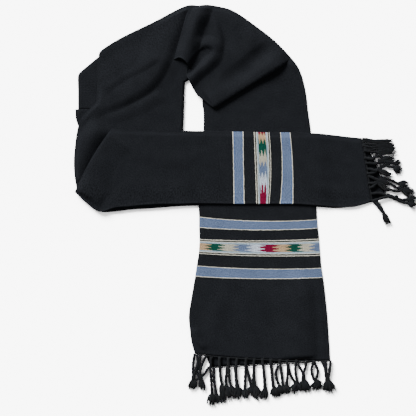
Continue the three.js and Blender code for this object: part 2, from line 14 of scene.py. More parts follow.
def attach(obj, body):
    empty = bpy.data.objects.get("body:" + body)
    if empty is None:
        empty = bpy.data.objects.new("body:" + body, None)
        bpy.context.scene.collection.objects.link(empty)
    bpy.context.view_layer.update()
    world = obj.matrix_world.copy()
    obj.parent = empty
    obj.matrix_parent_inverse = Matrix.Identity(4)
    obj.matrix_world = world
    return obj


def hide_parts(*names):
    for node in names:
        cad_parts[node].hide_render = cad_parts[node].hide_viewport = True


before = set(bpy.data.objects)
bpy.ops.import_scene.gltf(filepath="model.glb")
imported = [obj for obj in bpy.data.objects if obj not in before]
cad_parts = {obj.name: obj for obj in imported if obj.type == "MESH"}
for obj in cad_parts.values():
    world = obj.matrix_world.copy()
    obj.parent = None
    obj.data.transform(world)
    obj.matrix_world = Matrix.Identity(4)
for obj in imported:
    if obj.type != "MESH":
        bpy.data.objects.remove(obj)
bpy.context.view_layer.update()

LOG = logging.getLogger("muffler")

# Sizes are in millimetres, and places are on the plan.
MM = 0.001
WALL = 1.5
SEAM = 0.3
PLY = WALL + SEAM
FOLD_RADIUS = WALL + SEAM / 2  # outside of the lengthwise fold
FOLD_CLOTH = 5  # cloth taken up by the lengthwise fold
FOLD_CALM = 12.0  # width beside the outer edge over which creases come down
CURL_WIDTH = 5.0  # width of the selvedge's curl
DROP_WIDTH = 16  # width over which single cloth comes down to its outer edge
LEAST_ROLL = 0.9  # least radius of the roll at a tucked end
BROAD_RIPPLE = 70.0  # length of the cloth's slow unevenness
FINE_RIPPLE = 26.0  # and of its quicker one
FOLD_END = 0.12  # share of a fold's height that is there where its path starts
SAME_PLACE = 1e-4  # gap under which two points of a table count as one
CLOTH_THICKNESS = 0.9
UPPER_SIDE = 2.2  # height over which a face belongs to the upper layer
CENTRE = (-0.15, 0.48)  # where the frame's origin is on the plan

# Heights of a stretch's underside, by what it lies on.
ON_FLOOR = 0.0
ON_ONE_LAYER = PLY
ON_RIGHT_STRAND = 2 * PLY
ON_LEFT_STRAND = 3 * PLY
STEPPING_DOWN = 4.6  # from the left strand to the right one
NEARLY_DOWN = 3.9

Plan = tuple[float, float]


class Layer(Enum):
    """A layer of a doubled end: its edge's column, its bow's, and the share of it that is fringed."""

    UPPER = ("edge", "bow", 0.99)
    UNDER = ("under", "under_bow", 0.86)


@dataclass(frozen=True)
class Section:
    """One section across a stretch, in millimetres on the plan.

    Args:
        edge: Inner edge of the upper layer.
        far: Lengthwise fold, or the outer edge of single cloth.
        under: Inner edge of the under layer, on doubled cloth.
        level: Height of the stretch's underside.
        bow: How far the section's middle leads its ends.
        under_bow: The same for the under layer.
        drop: How far the outer edge comes down, on single cloth.
        run: Distance along the cloth from its hem.
        skew: How much further from the hem the under layer's edge is.
    """

    edge: Plan
    far: Plan
    under: Plan = (0.0, 0.0)
    level: float = 0.0
    bow: float = 0.0
    under_bow: float = 0.0
    drop: float = 0.0
    run: float = 0.0
    skew: float = 0.0


def even(edge: Plan, far: Plan, level: float, run: float) -> Section:
    """Return a section of doubled cloth whose two layers end together.

    Args:
        edge: Inner edge of both layers.
        far: The lengthwise fold.
        level: Height of the stretch's underside.
        run: Distance along the cloth from its hem.

    Returns:
        The section.
    """
    return Section(edge, far, edge, level, run=run)


def single(edge: Plan, far: Plan, level: float, run: float, drop: float = 0.0) -> Section:
    """Return a section of single cloth.

    Args:
        edge: Its inner edge.
        far: Its outer edge.
        level: Height of the stretch's underside.
        run: Distance along the cloth from its hem.
        drop: How far the outer edge comes down.

    Returns:
        The section.
    """
    return Section(edge, far, level=level, drop=drop, run=run)


@dataclass(frozen=True)
class Fold:
    """A ridge laid along a plan path, or a trough where its height is negative.

    Args:
        path: Plan points that the crest follows.
        height: Height of the crest.
        width: Half width of the ridge.
        steep: Width of its right-hand side as a share of the left.
        fade: Length over which its start dies away.
        profile: Roundness of its section, 2 for a soft bell and under 1 for a full roll.
        tail: Length over which its end dies away, or 0 for the same as its start.
    """

    path: tuple[Plan, ...]
    height: float
    width: float
    steep: float = 1.0
    fade: float = 40.0
    profile: float = 2.0
    tail: float = 0.0

    def spine(self) -> list[Plan]:
        """Return the path as a fine smooth line."""
        curve = PlanCurve(list(self.path))
        steps = 6 * (len(self.path) - 1)
        return [curve.at(step / steps) for step in range(steps + 1)]


def smooth(value: float) -> float:
    """Return a value eased between 0 and 1."""
    clamped = min(max(value, 0.0), 1.0)
    return clamped * clamped * (3.0 - 2.0 * clamped)


def settled(height: float) -> float:
    """Return a height eased so that it stays above the cloth's own level."""
    return (height + math.sqrt(height * height + 2.0)) / 2


def lerp(low: float, high: float, share: float) -> float:
    """Return the value a share of the way from low to high."""
    return low + (high - low) * share


@dataclass
class PlanCurve:
    """Smooth plan curve through a table's points.

    Args:
        points: The points that it goes through, in order.
    """

    points: list[Plan]

    def at(self, share: float) -> Plan:
        """Return the point at a share of the table, counted in rows.

        Args:
            share: How far along the table, from 0 to 1.

        Returns:
            The plan point.
        """
        last = len(self.points) - 1
        place = min(max(share, 0.0), 1.0) * last
        first = min(int(place), last - 1)
        one = self.points[first]
        two = self.points[first + 1]
        zero = self.points[first - 1] if first > 0 else self._beyond(one, two)
        three = self.points[first + 2] if first + 2 <= last else self._beyond(two, one)
        gaps = [self._gap(zero, one), self._gap(one, two), self._gap(two, three)]
        gaps[1] = gaps[1] if gaps[1] > SAME_PLACE else 1.0
        gaps[0] = gaps[0] if gaps[0] > SAME_PLACE else gaps[1]
        gaps[2] = gaps[2] if gaps[2] > SAME_PLACE else gaps[1]
        moved = place - first
        values = [self._blend((zero[i], one[i], two[i], three[i]), gaps, moved) for i in (0, 1)]
        return (values[0], values[1])

    @staticmethod
    def _beyond(end: Plan, inner: Plan) -> Plan:
        """Return the point past an end, opposite its inner neighbour."""
        return (2 * end[0] - inner[0], 2 * end[1] - inner[1])

    @staticmethod
    def _gap(one: Plan, two: Plan) -> float:
        """Return the square root of the distance between two points."""
        return math.sqrt(math.hypot(two[0] - one[0], two[1] - one[1]))

    @staticmethod
    def _blend(values: tuple[float, float, float, float], gaps: list[float], moved: float) -> float:
        """Return one coordinate between the middle two of four values.

        Args:
            values: The coordinate at four points in turn.
            gaps: The three gaps between them.
            moved: How far from the second to the third, from 0 to 1.

        Returns:
            The coordinate.
        """
        zero, one, two, three = values
        before, between, after = gaps
        start = (one - zero) / before - (two - zero) / (before + between) + (two - one) / between
        end = (two - one) / between - (three - one) / (between + after) + (three - two) / after
        start *= between
        end *= between
        square = -3 * one + 3 * two - 2 * start - end
        cube = 2 * one - 2 * two + start + end
        return one + moved * (start + moved * (square + moved * cube))


@dataclass
class Relief:
    """Height that folds and the soft lie of the cloth add over the plan.

    Args:
        folds: The folds laid in the cloth.
        loft: Height that the cloth's middle stands up by.
        ripple: Height of its unevenness.
        spines: Each fold's crest as a fine line, worked out from the folds.
    """

    folds: list[Fold]
    loft: float = 0.0
    ripple: float = 0.5
    spines: list[list[Plan]] = field(default_factory=list)

    def __post_init__(self) -> None:
        """Work out each fold's line once."""
        self.spines = [fold.spine() for fold in self.folds]

    def at(self, x: float, y: float, lofted: float = 1.0) -> float:
        """Return the added height at a plan point, in millimetres, with a share of the loft.

        Args:
            x: Place across the plan.
            y: Place up the plan.
            lofted: Share of the loft that is left there.

        Returns:
            The height, which may be negative in a trough.
        """
        height = self.loft * lofted
        for fold, spine in zip(self.folds, self.spines):
            height += self._crest(fold, spine, x, y)
        broad = noise.noise(Vector((x / BROAD_RIPPLE, y / BROAD_RIPPLE, 3.1)))
        fine = noise.noise(Vector((x / FINE_RIPPLE, y / FINE_RIPPLE, 8.4)))
        return height + self.ripple * (0.6 + 0.7 * broad + 0.3 * fine)

    @staticmethod
    def _crest(fold: Fold, spine: list[Plan], x: float, y: float) -> float:
        """Return one fold's height at a plan point.

        Args:
            fold: The fold.
            spine: Its crest as a fine line.
            x: Place across the plan.
            y: Place up the plan.

        Returns:
            The height, 0 outside the fold's width.
        """
        best = 1e9
        side = 1.0
        start = 0.0
        walked = 0.0
        for one, two in zip(spine, spine[1:]):
            length = math.hypot(two[0] - one[0], two[1] - one[1])
            ux = (two[0] - one[0]) / length
            uy = (two[1] - one[1]) / length
            along = min(max((x - one[0]) * ux + (y - one[1]) * uy, 0.0), length)
            dx = x - one[0] - ux * along
            dy = y - one[1] - uy * along
            distance = math.hypot(dx, dy)
            if distance < best:
                best = distance
                side = dx * uy - dy * ux
                start = walked + along
            walked += length
        width = fold.width * (fold.steep if side > 0 else 1.0)
        if best >= width:
            return 0.0
        crest = (1.0 - (best / width) ** 2) ** fold.profile
        ends = min(start / fold.fade, (walked - start) / (fold.tail or fold.fade))
        return fold.height * crest * smooth(FOLD_END + ends)


# Sections of each stretch, in order along the cloth. Each has its inner edge, its fold or outer edge, on
# doubled cloth its under layer's edge, and its level, then what differs from Section's own defaults.
LOWER_TAIL = [
    Section((-120, 95.15), (164, 95.15), (-120, 95.15), ON_FLOOR, run=480),
    Section((-128, 3), (171, 3), (-127, 3), ON_FLOOR, bow=4, run=388),
    Section((-127, -27), (173, -34), (-126, -27), ON_FLOOR, bow=7, run=350),
    Section((-127, -54), (175, -56), (-126, -54), ON_FLOOR, bow=5.5, run=327),
    Section((-126, -85), (178, -84), (-125, -85), ON_FLOOR, bow=4, run=300),
    Section((-128, -119), (181, -124), (-127, -119), ON_FLOOR, bow=4, run=262),
    Section((-133, -151), (184, -157), (-132, -151), ON_FLOOR, bow=5, run=228),
    Section((-137, -178), (188, -181), (-136, -178), ON_FLOOR, bow=4.7, run=202),
    Section((-146, -230), (194, -230), (-145, -230), ON_FLOOR, bow=5, run=152),
    Section((-153, -278), (199, -280), (-152, -278), ON_FLOOR, bow=5, run=105),
    Section((-150, -316), (202, -325), (-148, -320), ON_FLOOR, bow=5, run=64),
    Section((-148, -335), (204, -352), (-136, -345), ON_FLOOR, bow=4, run=44),
    Section((-144, -354), (205, -372), (-114, -370), ON_FLOOR, bow=4, run=22),
    Section((-138, -374), (206, -391), (-99, -409), ON_FLOOR, bow=5, run=0),
]

RIGHT_STRAND = [
    even((-120, 95.45), (164, 95.45), ON_FLOOR, 480),
    even((-116, 188), (157, 188), ON_FLOOR, 573),
    even((-116, 239), (150, 240), ON_FLOOR, 625),
    even((-119, 265), (142, 300), ON_FLOOR, 670),
    even((-110, 288), (126, 351), ON_FLOOR, 710),
    even((-92, 314), (99, 386), ON_FLOOR, 750),
    even((-62, 344), (64, 422), ON_FLOOR, 790),
]

LEFT_STRAND = [
    even((-152, 356), (-128, 509), ON_ONE_LAYER, 1100),
    even((-156, 344), (-154, 510), ON_ONE_LAYER, 1075),
    even((-153, 334), (-245, 466), ON_ONE_LAYER, 1030),
    even((-151, 324), (-336, 421), ON_ONE_LAYER, 980),
    even((-156, 317.5), (-376, 394.5), ON_ONE_LAYER, 953),
    even((-162, 314), (-380, 389), ON_ONE_LAYER, 948),
    even((-163, 303), (-385, 345), ON_ONE_LAYER, 920),
    even((-164, 284), (-386, 296), ON_ONE_LAYER, 885),
    even((-164, 266), (-389, 264), ON_ONE_LAYER, 860),
    even((-165, 246), (-409, 242), ON_ONE_LAYER, 840),
    even((-165.5, 226), (-428, 218), ON_ONE_LAYER, 818),
    even((-167, 192), (-437, 187), ON_ONE_LAYER, 785),
    even((-172, 148), (-443, 143), ON_FLOOR, 740),
    even((-175, 112), (-445, 112), ON_FLOOR, 705),
    even((-178, 78), (-443, 75), ON_FLOOR, 670),
    even((-180, 46), (-438, 46), ON_FLOOR, 640),
]

CROSS_TAIL = [
    Section((-440, 34), (-345, 197), (-438, 35), ON_LEFT_STRAND, bow=-6, under_bow=-6, run=690),
    Section((-412, 8), (-318, 195), (-411, 9), ON_LEFT_STRAND, bow=-3, under_bow=-3, run=664),
    Section((-378, -14), (-290, 194), (-377, -14), ON_LEFT_STRAND, run=633),
    Section((-342, -4), (-262, 193), (-342, -14), ON_LEFT_STRAND, run=602),
    Section((-300, 0), (-235, 193), (-300, -9), ON_LEFT_STRAND, run=567),
    Section((-238, 5), (-204, 192), (-238, -5), ON_LEFT_STRAND, run=520),
    Section((-172, 6), (-172, 192), (-172, 0), ON_LEFT_STRAND, run=471),
    Section((-140, 7), (-140, 191), (-140, 1), STEPPING_DOWN, run=440),
    Section((-108, 7), (-108, 191), (-108, 2), NEARLY_DOWN, run=410),
    Section((-39, 6), (-42, 189), (-39, 3), ON_RIGHT_STRAND, bow=0.5, run=350, skew=16),
    Section((-12, 6), (-15, 189), (-12, 3), ON_RIGHT_STRAND, bow=-0.5, run=327, skew=18),
    Section((20, 6), (13.5, 188), (20, 3), ON_RIGHT_STRAND, run=300, skew=16),
    Section((50, 6), (50, 187), (50, 3), ON_RIGHT_STRAND, bow=4.5, run=262, skew=14),
    Section((78, 6), (79, 187), (78, 3), ON_RIGHT_STRAND, bow=5, run=228),
    Section((111, 6), (104, 187), (111, 3), ON_RIGHT_STRAND, bow=3, run=202),
    Section((173, 2), (173, 185), (174, -2), ON_RIGHT_STRAND, bow=2, run=136),
    Section((222, -2), (222, 180), (226, -5), ON_FLOOR, run=86),
    Section((270, -1), (256, 176), (286, 3), ON_FLOOR, run=42),
    Section((310, 13), (286, 173), (347, 22), ON_FLOOR, under_bow=9, run=0),
]

CROWN = [
    single((-188, 372), (-152, 506), ON_LEFT_STRAND, 1090),
    single((-178, 375), (-131, 508), ON_LEFT_STRAND, 1070),
    single((-163, 367), (-109, 511), ON_LEFT_STRAND, 1045, 1.5),
    single((-154, 352), (-76, 507), ON_LEFT_STRAND, 1010, 5),
    single((-159, 334), (-46, 499), ON_LEFT_STRAND, 978, 5.4),
    single((-151, 316), (-18, 483), ON_LEFT_STRAND, 948, 5.4),
    single((-139, 292), (22, 454), ON_RIGHT_STRAND, 905, 3),
    single((-128, 278), (54, 429), ON_RIGHT_STRAND, 870, 0.4),
    single((-113, 267), (88, 396), ON_RIGHT_STRAND, 835),
    single((-93, 250), (101, 372), ON_RIGHT_STRAND, 805),
]

LEFT_UNDER = [
    single((-260, 392), (-384, 378), ON_FLOOR, 1030),
    single((-260, 360), (-409, 357), ON_FLOOR, 1010),
    single((-260, 338), (-431, 338), ON_FLOOR, 990),
    single((-260, 332), (-434, 332), ON_FLOOR, 984),
    single((-260, 290), (-434, 290), ON_FLOOR, 942),
    single((-260, 246), (-434, 246), ON_FLOOR, 898),
]

LEFT_TIP = [
    single((-330, 247.6), (-441, 246), ON_FLOOR, 896),
    single((-330, 226), (-440, 223), ON_FLOOR, 874),
    single((-330, 206), (-434, 204), ON_FLOOR, 854),
]

# Shares of the width, from the edge to the fold, against the flame band's colours in turn.
LOWER_CHART = [(0.0, 0.35), (0.073, 1.0), (0.19, 2.0), (0.30, 3.0), (0.418, 4.0), (0.518, 5.0), (0.64, 6.0),
               (0.744, 7.0), (0.843, 8.0), (0.937, 9.0), (1.0, 9.6)]
CROSS_CHART = [(0.0, 5.7), (0.25, 5.0), (0.405, 4.0), (0.57, 3.0), (0.703, 2.0), (0.895, 1.0), (0.99, 0.0),
               (1.0, -0.2)]

# Each fold has its path, height, width, steep, fade, profile and tail, in the order of Fold's own columns.
LOWER_TAIL_FOLDS = [
    Fold(((122, -175), (134, -257), (141, -388)), 8.5, 38, 2.0, 70, 1.5, 10),
    Fold(((-60, -200), (-95, -330), (-104, -377)), 1.8, 34),
    Fold(((-144, -308), (-130, -342), (-110, -366)), 5.0, 16, 0.36, 16, 1.3, 20),
    Fold(((20, -200), (10, -300), (24, -384)), 1.0, 40),
    Fold(((-100, -20), (0, -60), (130, -30)), 1.0, 30),
]

RIGHT_STRAND_FOLDS = [
    Fold(((24, 232), (16, 252), (14, 266)), 1.2, 30),
    Fold(((97, 360), (108, 360), (119, 351), (126, 340)), 4.6, 14, 1.0, 10),
]

LEFT_STRAND_FOLDS = [
    Fold(((-378, 290), (-347, 315), (-322, 332), (-298, 344), (-274, 355), (-250, 369), (-232, 384)),
         4.4, 60, 0.3, 40, 1.4, 30),
    Fold(((-436, 216), (-384, 250), (-332, 268), (-301, 284), (-266, 305), (-240, 332), (-222, 366),
          (-205, 412), (-187, 456), (-168, 514)), 8.0, 60, 0.42, 150, 1.4, 16),
    Fold(((-276, 298), (-242, 326), (-222, 358), (-210, 396)), 3.6, 60, 0.8, 40, 1.5),
    Fold(((-370, 226), (-345, 230), (-318, 237), (-296, 246), (-270, 257), (-237, 276), (-202, 291)),
         2.6, 17, 1.5, 50),
    Fold(((-364, 214), (-391, 186), (-418, 148), (-433, 112), (-440, 84), (-442, 60)),
         11.0, 31, 1.05, 40, 1.2, 10),
]

LEFT_TIP_FOLDS = [
    Fold(((-420, 248), (-432, 236), (-437, 212)), 3.0, 8),
]

CROSS_TAIL_FOLDS = [
    Fold(((-432, 30), (-404, 82), (-376, 142), (-340, 184)), 4.4, 19, 3.0, 12, 1.3),
    Fold(((-436, 50), (-402, 25), (-370, 5)), 4.5, 50, 0.3, 20, 1.4),
    Fold(((-350, 170), (-250, 130), (-90, 120)), 1.4, 34),
    Fold(((-330, 60), (-240, 40), (-130, 50)), 1.2, 30),
    Fold(((150, 60), (210, 40), (300, 40)), 1.6, 24),
]

CROWN_FOLDS = [
    Fold(((-116, 530), (-127, 483), (-139, 456), (-151, 415), (-163, 377), (-171, 350)),
         14.0, 29, 0.8, 14, 1.2),
    Fold(((-101, 487), (-111, 451), (-121, 419), (-131, 400)), -4.0, 30, 1.0, 40),
    Fold(((-104, 494), (-93, 474), (-83, 451), (-76, 425), (-74, 404), (-80, 386)),
         5.0, 14, 1.8, 44, 1.8, 34),
    Fold(((-134, 402), (-116, 411), (-97, 408), (-86, 397), (-88, 380), (-105, 361), (-130, 341), (-150, 322),
          (-168, 300)), 8.0, 24, 0.6, 36, 1.7, 16),
    Fold(((-107, 394), (-120, 384), (-133, 369), (-147, 350), (-158, 334)), -8.5, 14, 1.0, 10, 1.6, 12),
    Fold(((40, 440), (0, 412), (-40, 372), (-74, 340)), 5.0, 52, 1.0, 60),
    Fold(((70, 412), (29, 380), (-7, 350), (-42, 325), (-77, 295)), -5.5, 30, 1.0, 50),
    Fold(((104, 374), (86, 366), (53, 345), (-1, 313), (-55, 281), (-98, 254)), 7.0, 20, 3.0, 56, 2.0, 10),
    Fold(((104, 374), (84, 366), (56, 349), (10, 324)), 4.0, 22, 2.0, 30, 2.0, 50),
]


@dataclass(frozen=True)
class Cord:
    """One cord of the fringe and its tassel, on the plan in millimetres.

    Args:
        root: Where it leaves the hem.
        head: Where its tassel begins.
        tip: Where its tassel ends.
        half: Half width of the tassel.
        via: Places that the cord passes between its root and its head.
    """

    root: Plan
    head: Plan
    tip: Plan
    half: float
    via: tuple[Plan, ...] = ()


# Each cord has its root, head, tip, half width and the places between root and head.
LOWER_FRINGE_TOP = [
    Cord((-138, -374), (-143, -440), (-148, -466), 6, ((-142, -401), (-142, -426))),
    Cord((-132, -375), (-140, -439), (-138, -464), 5, ((-130, -398), (-137, -421))),
    Cord((-123, -377), (-124, -439), (-119, -462), 5, ((-126, -401), (-132, -421))),
    Cord((-109, -380), (-119, -441), (-116, -469), 4.5, ((-121, -405), (-124, -426))),
    Cord((-96, -382), (-94, -474), (-96, -506), 8, ((-98, -411), (-96, -444))),
    Cord((-75, -382), (-69, -450), (-65, -480), 6.5, ((-74, -414), (-72, -436))),
    Cord((-53, -383), (-47, -453), (-32, -485), 6, ((-51, -414), (-50, -436))),
    Cord((-30, -384), (-28, -459), (-29, -491), 6, ((-33, -411), (-32, -436))),
    Cord((-7, -384), (-11, -462), (-9, -491), 6.5, ((-9, -414), (-10, -439))),
    Cord((13, -386), (15, -454), (25, -492), 7.5, ((12, -408), (13, -434))),
    Cord((34, -386), (39, -462), (39, -491), 7, ((36, -411), (38, -436))),
    Cord((55, -387), (62, -459), (64, -485), 7, ((56, -414), (59, -439))),
    Cord((77, -388), (85, -454), (90, -478), 7, ((80, -408), (83, -431))),
    Cord((96, -389), (95, -452), (99, -476), 6, ((98, -411), (97, -434))),
    Cord((121, -389), (123, -449), (122, -472), 7, ((117, -411), (119, -431))),
    Cord((146, -390), (136, -441), (133, -469), 6, ((142, -411), (137, -426))),
    Cord((165, -391), (168, -447), (163, -468), 7, ((158, -414), (161, -431))),
    Cord((193, -391), (197, -441), (199, -472), 8, ((195, -414), (196, -426))),
    Cord((206, -391), (201, -441), (210, -474), 8, ((205, -408), (202, -429))),
]

LOWER_FRINGE_UNDER = [
    Cord((-102, -408), (-135, -441), (-145, -462), 5.5, ((-113, -425), (-124, -434))),
    Cord((-89, -410), (-84, -474), (-76, -500), 5.5, ((-89, -436), (-87, -454))),
    Cord((-73, -409), (-69, -454), (-65, -501), 6.5, ((-73, -429), (-71, -441))),
    Cord((-56, -408), (-58, -454), (-46, -495), 7, ((-58, -429), (-59, -444))),
    Cord((-36, -407), (-32, -457), (-19, -480), 6, ((-34, -429), (-33, -444))),
    Cord((-7, -406), (5, -457), (4, -481), 7.5, ((0, -434), (3, -448))),
    Cord((13, -405), (11, -457), (15, -485), 6.5, ((11, -429), (10, -444))),
    Cord((36, -405), (42, -462), (36, -492), 6, ((39, -436), (40, -449))),
    Cord((57, -404), (61, -457), (75, -485), 7, ((58, -429), (59, -444))),
    Cord((75, -403), (76, -454), (81, -481), 7, ((68, -421), (70, -439))),
    Cord((99, -402), (118, -450), (111, -476), 7, ((104, -426), (112, -440))),
    Cord((124, -401), (140, -440), (149, -474), 8, ((132, -415), (138, -426))),
    Cord((166, -397), (168, -440), (185, -464), 7, ((174, -416), (172, -431))),
    Cord((185, -394), (196, -440), (208, -467), 8, ((192, -411), (194, -426))),
]

CROSS_FRINGE_TOP = [
    Cord((287, 170), (316, 166), (364, 168), 3.2, ((295, 170), (305, 168))),
    Cord((287, 154), (316, 150), (367, 156), 4, ((297, 152), (305, 150))),
    Cord((288, 163), (318, 162), (367, 162), 4, ((297, 165), (307, 164))),
    Cord((289, 157), (320, 156), (366, 155), 4, ((299, 158), (310, 157))),
    Cord((290, 147), (322, 151), (370, 148), 4, ((300, 147), (311, 149))),
    Cord((291, 143), (322, 145), (369, 143), 4, ((301, 143), (311, 144))),
    Cord((290, 140), (320, 137), (373, 137), 5.5, ((299, 140), (309, 138))),
    Cord((292, 123), (318, 123), (370, 148), 4.5, ((301, 121), (309, 119))),
    Cord((295, 109), (322, 108), (371, 128), 5, ((304, 109), (313, 108))),
    Cord((299, 94), (324, 92), (367, 117), 5, ((307, 94), (316, 90))),
    Cord((298, 83), (325, 92), (364, 76), 7, ((307, 83), (317, 85))),
    Cord((301, 77), (325, 66), (356, 54), 6, ((311, 73), (318, 69))),
    Cord((301, 58), (323, 63), (350, 67), 5, ((308, 58), (316, 58))),
    Cord((305, 45), (324, 60), (355, 40), 7, ((312, 49), (318, 53))),
    Cord((309, 31), (367, 22), (379, 24), 6, ((329, 33), (350, 27))),
    Cord((311, 13), (367, 24), (371, 16), 5, ((326, 17), (350, 24))),
    Cord((314, 14), (340, -16), (358, -44), 8, ((324, 3), (334, -10))),
    Cord((322, 14), (341, -16), (350, -47), 8, ((331, 3), (337, -8))),
]

CROSS_FRINGE_UNDER = [
    Cord((316, 164), (337, 161), (367, 148), 5, ((324, 162), (331, 161))),
    Cord((320, 132), (335, 124), (371, 115), 5, ((324, 130), (330, 127))),
    Cord((326, 117), (367, 109), (386, 110), 6, ((341, 115), (354, 112))),
    Cord((331, 103), (367, 100), (387, 87), 9, ((345, 103), (358, 100))),
    Cord((333, 75), (377, 58), (404, 53), 8, ((345, 71), (362, 65))),
    Cord((337, 67), (387, 44), (422, 32), 8, ((358, 57), (375, 47))),
    Cord((343, 44), (387, 40), (413, 27), 6, ((358, 42), (373, 38))),
    Cord((350, 30), (400, 17), (425, 17), 8, ((367, 24), (384, 17))),
    Cord((348, 26), (404, 7), (425, 4), 8.5, ((367, 20), (386, 11))),
]


@dataclass
class NodeDesk:
    """A material's node tree, with short ways to add to it.

    Args:
        tree: The node tree.
    """

    tree: bpy.types.NodeTree

    def add(self, kind: str, **settings: object) -> bpy.types.Node:
        """Return a new node with its settings.

        Args:
            kind: The node's type.
            settings: Values of its own properties, by name.

        Returns:
            The node.
        """
        node = self.tree.nodes.new(kind)
        for key, value in settings.items():
            setattr(node, key, value)
        return node

    def put(self, socket: bpy.types.NodeSocket, value: object) -> None:
        """Link a socket to another one, or set its value."""
        if isinstance(value, bpy.types.NodeSocket):
            self.tree.links.new(value, socket)
        else:
            socket.default_value = value

    def math(self, operation: str, *values: object) -> bpy.types.NodeSocket:
        """Return the result of a Math node.

        Args:
            operation: What it does.
            values: Numbers or sockets for its inputs in turn.

        Returns:
            Its output.
        """
        node = self.add("ShaderNodeMath", operation=operation)
        for socket, value in zip(node.inputs, values):
            self.put(socket, value)
        return node.outputs[0]

    def mix(self, share: object, one: object, two: object, way: str = "MIX") -> bpy.types.NodeSocket:
        """Return the colour that mixes one and two.

        Args:
            share: How much of the second there is.
            one: The first colour.
            two: The second colour.
            way: How they blend.

        Returns:
            The mixed colour's socket.
        """
        node = self.add("ShaderNodeMix", data_type="RGBA", blend_type=way)
        self.put(node.inputs[0], share)
        self.put(node.inputs[6], one)
        self.put(node.inputs[7], two)
        return node.outputs[2]

    def noise(self, vector: object, scale: float, detail: float = 2.0) -> bpy.types.NodeSocket:
        """Return a noise value on a vector.

        Args:
            vector: Where it is read.
            scale: How fine it is.
            detail: How many finer layers it has.

        Returns:
            The value's socket.
        """
        node = self.add("ShaderNodeTexNoise")
        self.put(node.inputs["Vector"], vector)
        node.inputs["Scale"].default_value = scale
        node.inputs["Detail"].default_value = detail
        return node.outputs[0]

    def range(self, value: object, low: float, high: float) -> bpy.types.NodeSocket:
        """Return a noise value spread from low to high.

        Args:
            value: The noise.
            low: What its darkest part becomes.
            high: What its lightest part becomes.

        Returns:
            The spread value's socket.
        """
        node = self.add("ShaderNodeMapRange")
        self.put(node.inputs[0], value)
        node.inputs[1].default_value = 0.3
        node.inputs[2].default_value = 0.7
        node.inputs[3].default_value = low
        node.inputs[4].default_value = high
        return node.outputs[0]

    def shaded(self, colour: object, shade: object) -> bpy.types.NodeSocket:
        """Return a colour made darker or lighter by a shade.

        Args:
            colour: The colour.
            shade: What it is multiplied by.

        Returns:
            The shaded colour's socket.
        """
        grey = self.add("ShaderNodeCombineXYZ")
        for socket in grey.inputs:
            self.put(socket, shade)
        return self.mix(1.0, colour, grey.outputs[0], "MULTIPLY")

    def raised(self, height: object, strength: float) -> bpy.types.NodeSocket:
        """Return the bump of a surface that is up to 0.6 mm rough.

        Args:
            height: The surface's height.
            strength: How strongly it shows.

        Returns:
            The bumped normal's socket.
        """
        node = self.add("ShaderNodeBump")
        node.inputs["Strength"].default_value = strength
        node.inputs["Distance"].default_value = 0.0006
        self.put(node.inputs["Height"], height)
        return node.outputs[0]


def fresh_material(name: str) -> tuple[bpy.types.Material, NodeDesk, bpy.types.Node]:
    """Return a new material, its desk and its main shader.

    Args:
        name: The material's name.

    Returns:
        The material, its desk and its main shader.
    """
    material = bpy.data.materials.new(name)
    material.use_nodes = True
    return material, NodeDesk(material.node_tree), material.node_tree.nodes["Principled BSDF"]


Tint = tuple[float, float, float, float]

BLACK: Tint = (0.0159, 0.0175, 0.0210, 1.0)
CREAM: Tint = (0.56, 0.53, 0.42, 1.0)
PALE_LINE: Tint = (0.92, 0.89, 0.76, 1.0)
BLUE: Tint = (0.150, 0.205, 0.335, 1.0)
DEEP_BLUE: Tint = (0.095, 0.16, 0.34, 1.0)
PALE_BLUE: Tint = (0.39, 0.52, 0.62, 1.0)
GREEN: Tint = (0.006, 0.080, 0.055, 1.0)
CRIMSON: Tint = (0.22, 0.006, 0.040, 1.0)
TAN: Tint = (0.56, 0.38, 0.22, 1.0)
WHITE: Tint = (0.66, 0.74, 0.86, 1.0)


@dataclass(frozen=True)
class Band:
    """A plain coloured band across the cloth.

    Args:
        low: Distance from the hem to its near side.
        high: Distance from the hem to its far side.
        tint: Its colour.
    """

    low: float
    high: float
    tint: Tint


BANDS = [
    Band(202, 228, BLUE),
    Band(203.4, 205.2, DEEP_BLUE),
    Band(224.8, 226.6, DEEP_BLUE),
    Band(201.6, 203.2, PALE_LINE),
    Band(226.8, 228.4, PALE_LINE),
    Band(327, 350, BLUE),
    Band(328.4, 330.2, DEEP_BLUE),
    Band(346.8, 348.6, DEEP_BLUE),
    Band(326.6, 328.2, PALE_LINE),
    Band(348.8, 350.4, PALE_LINE),
    Band(260.7, 262.3, PALE_LINE),
    Band(265.8, 267.3, PALE_LINE),
    Band(267.3, 294.7, PALE_BLUE),
    Band(294.7, 296.2, PALE_LINE),
    Band(299.7, 301.3, PALE_LINE),
]

WEAVE_PITCH = 1.1
FLAME_BAND = (271.4, 290.6)
FLAME_WIDTH = 33.3
FLAME_REACH = 10.5
FLAME_PICKS = 16
FLAME_TEETH = 5
FLAME_RAGGED = 9.0
FLAME_TINTS = [TAN, GREEN, CREAM, BLUE, WHITE, CRIMSON]


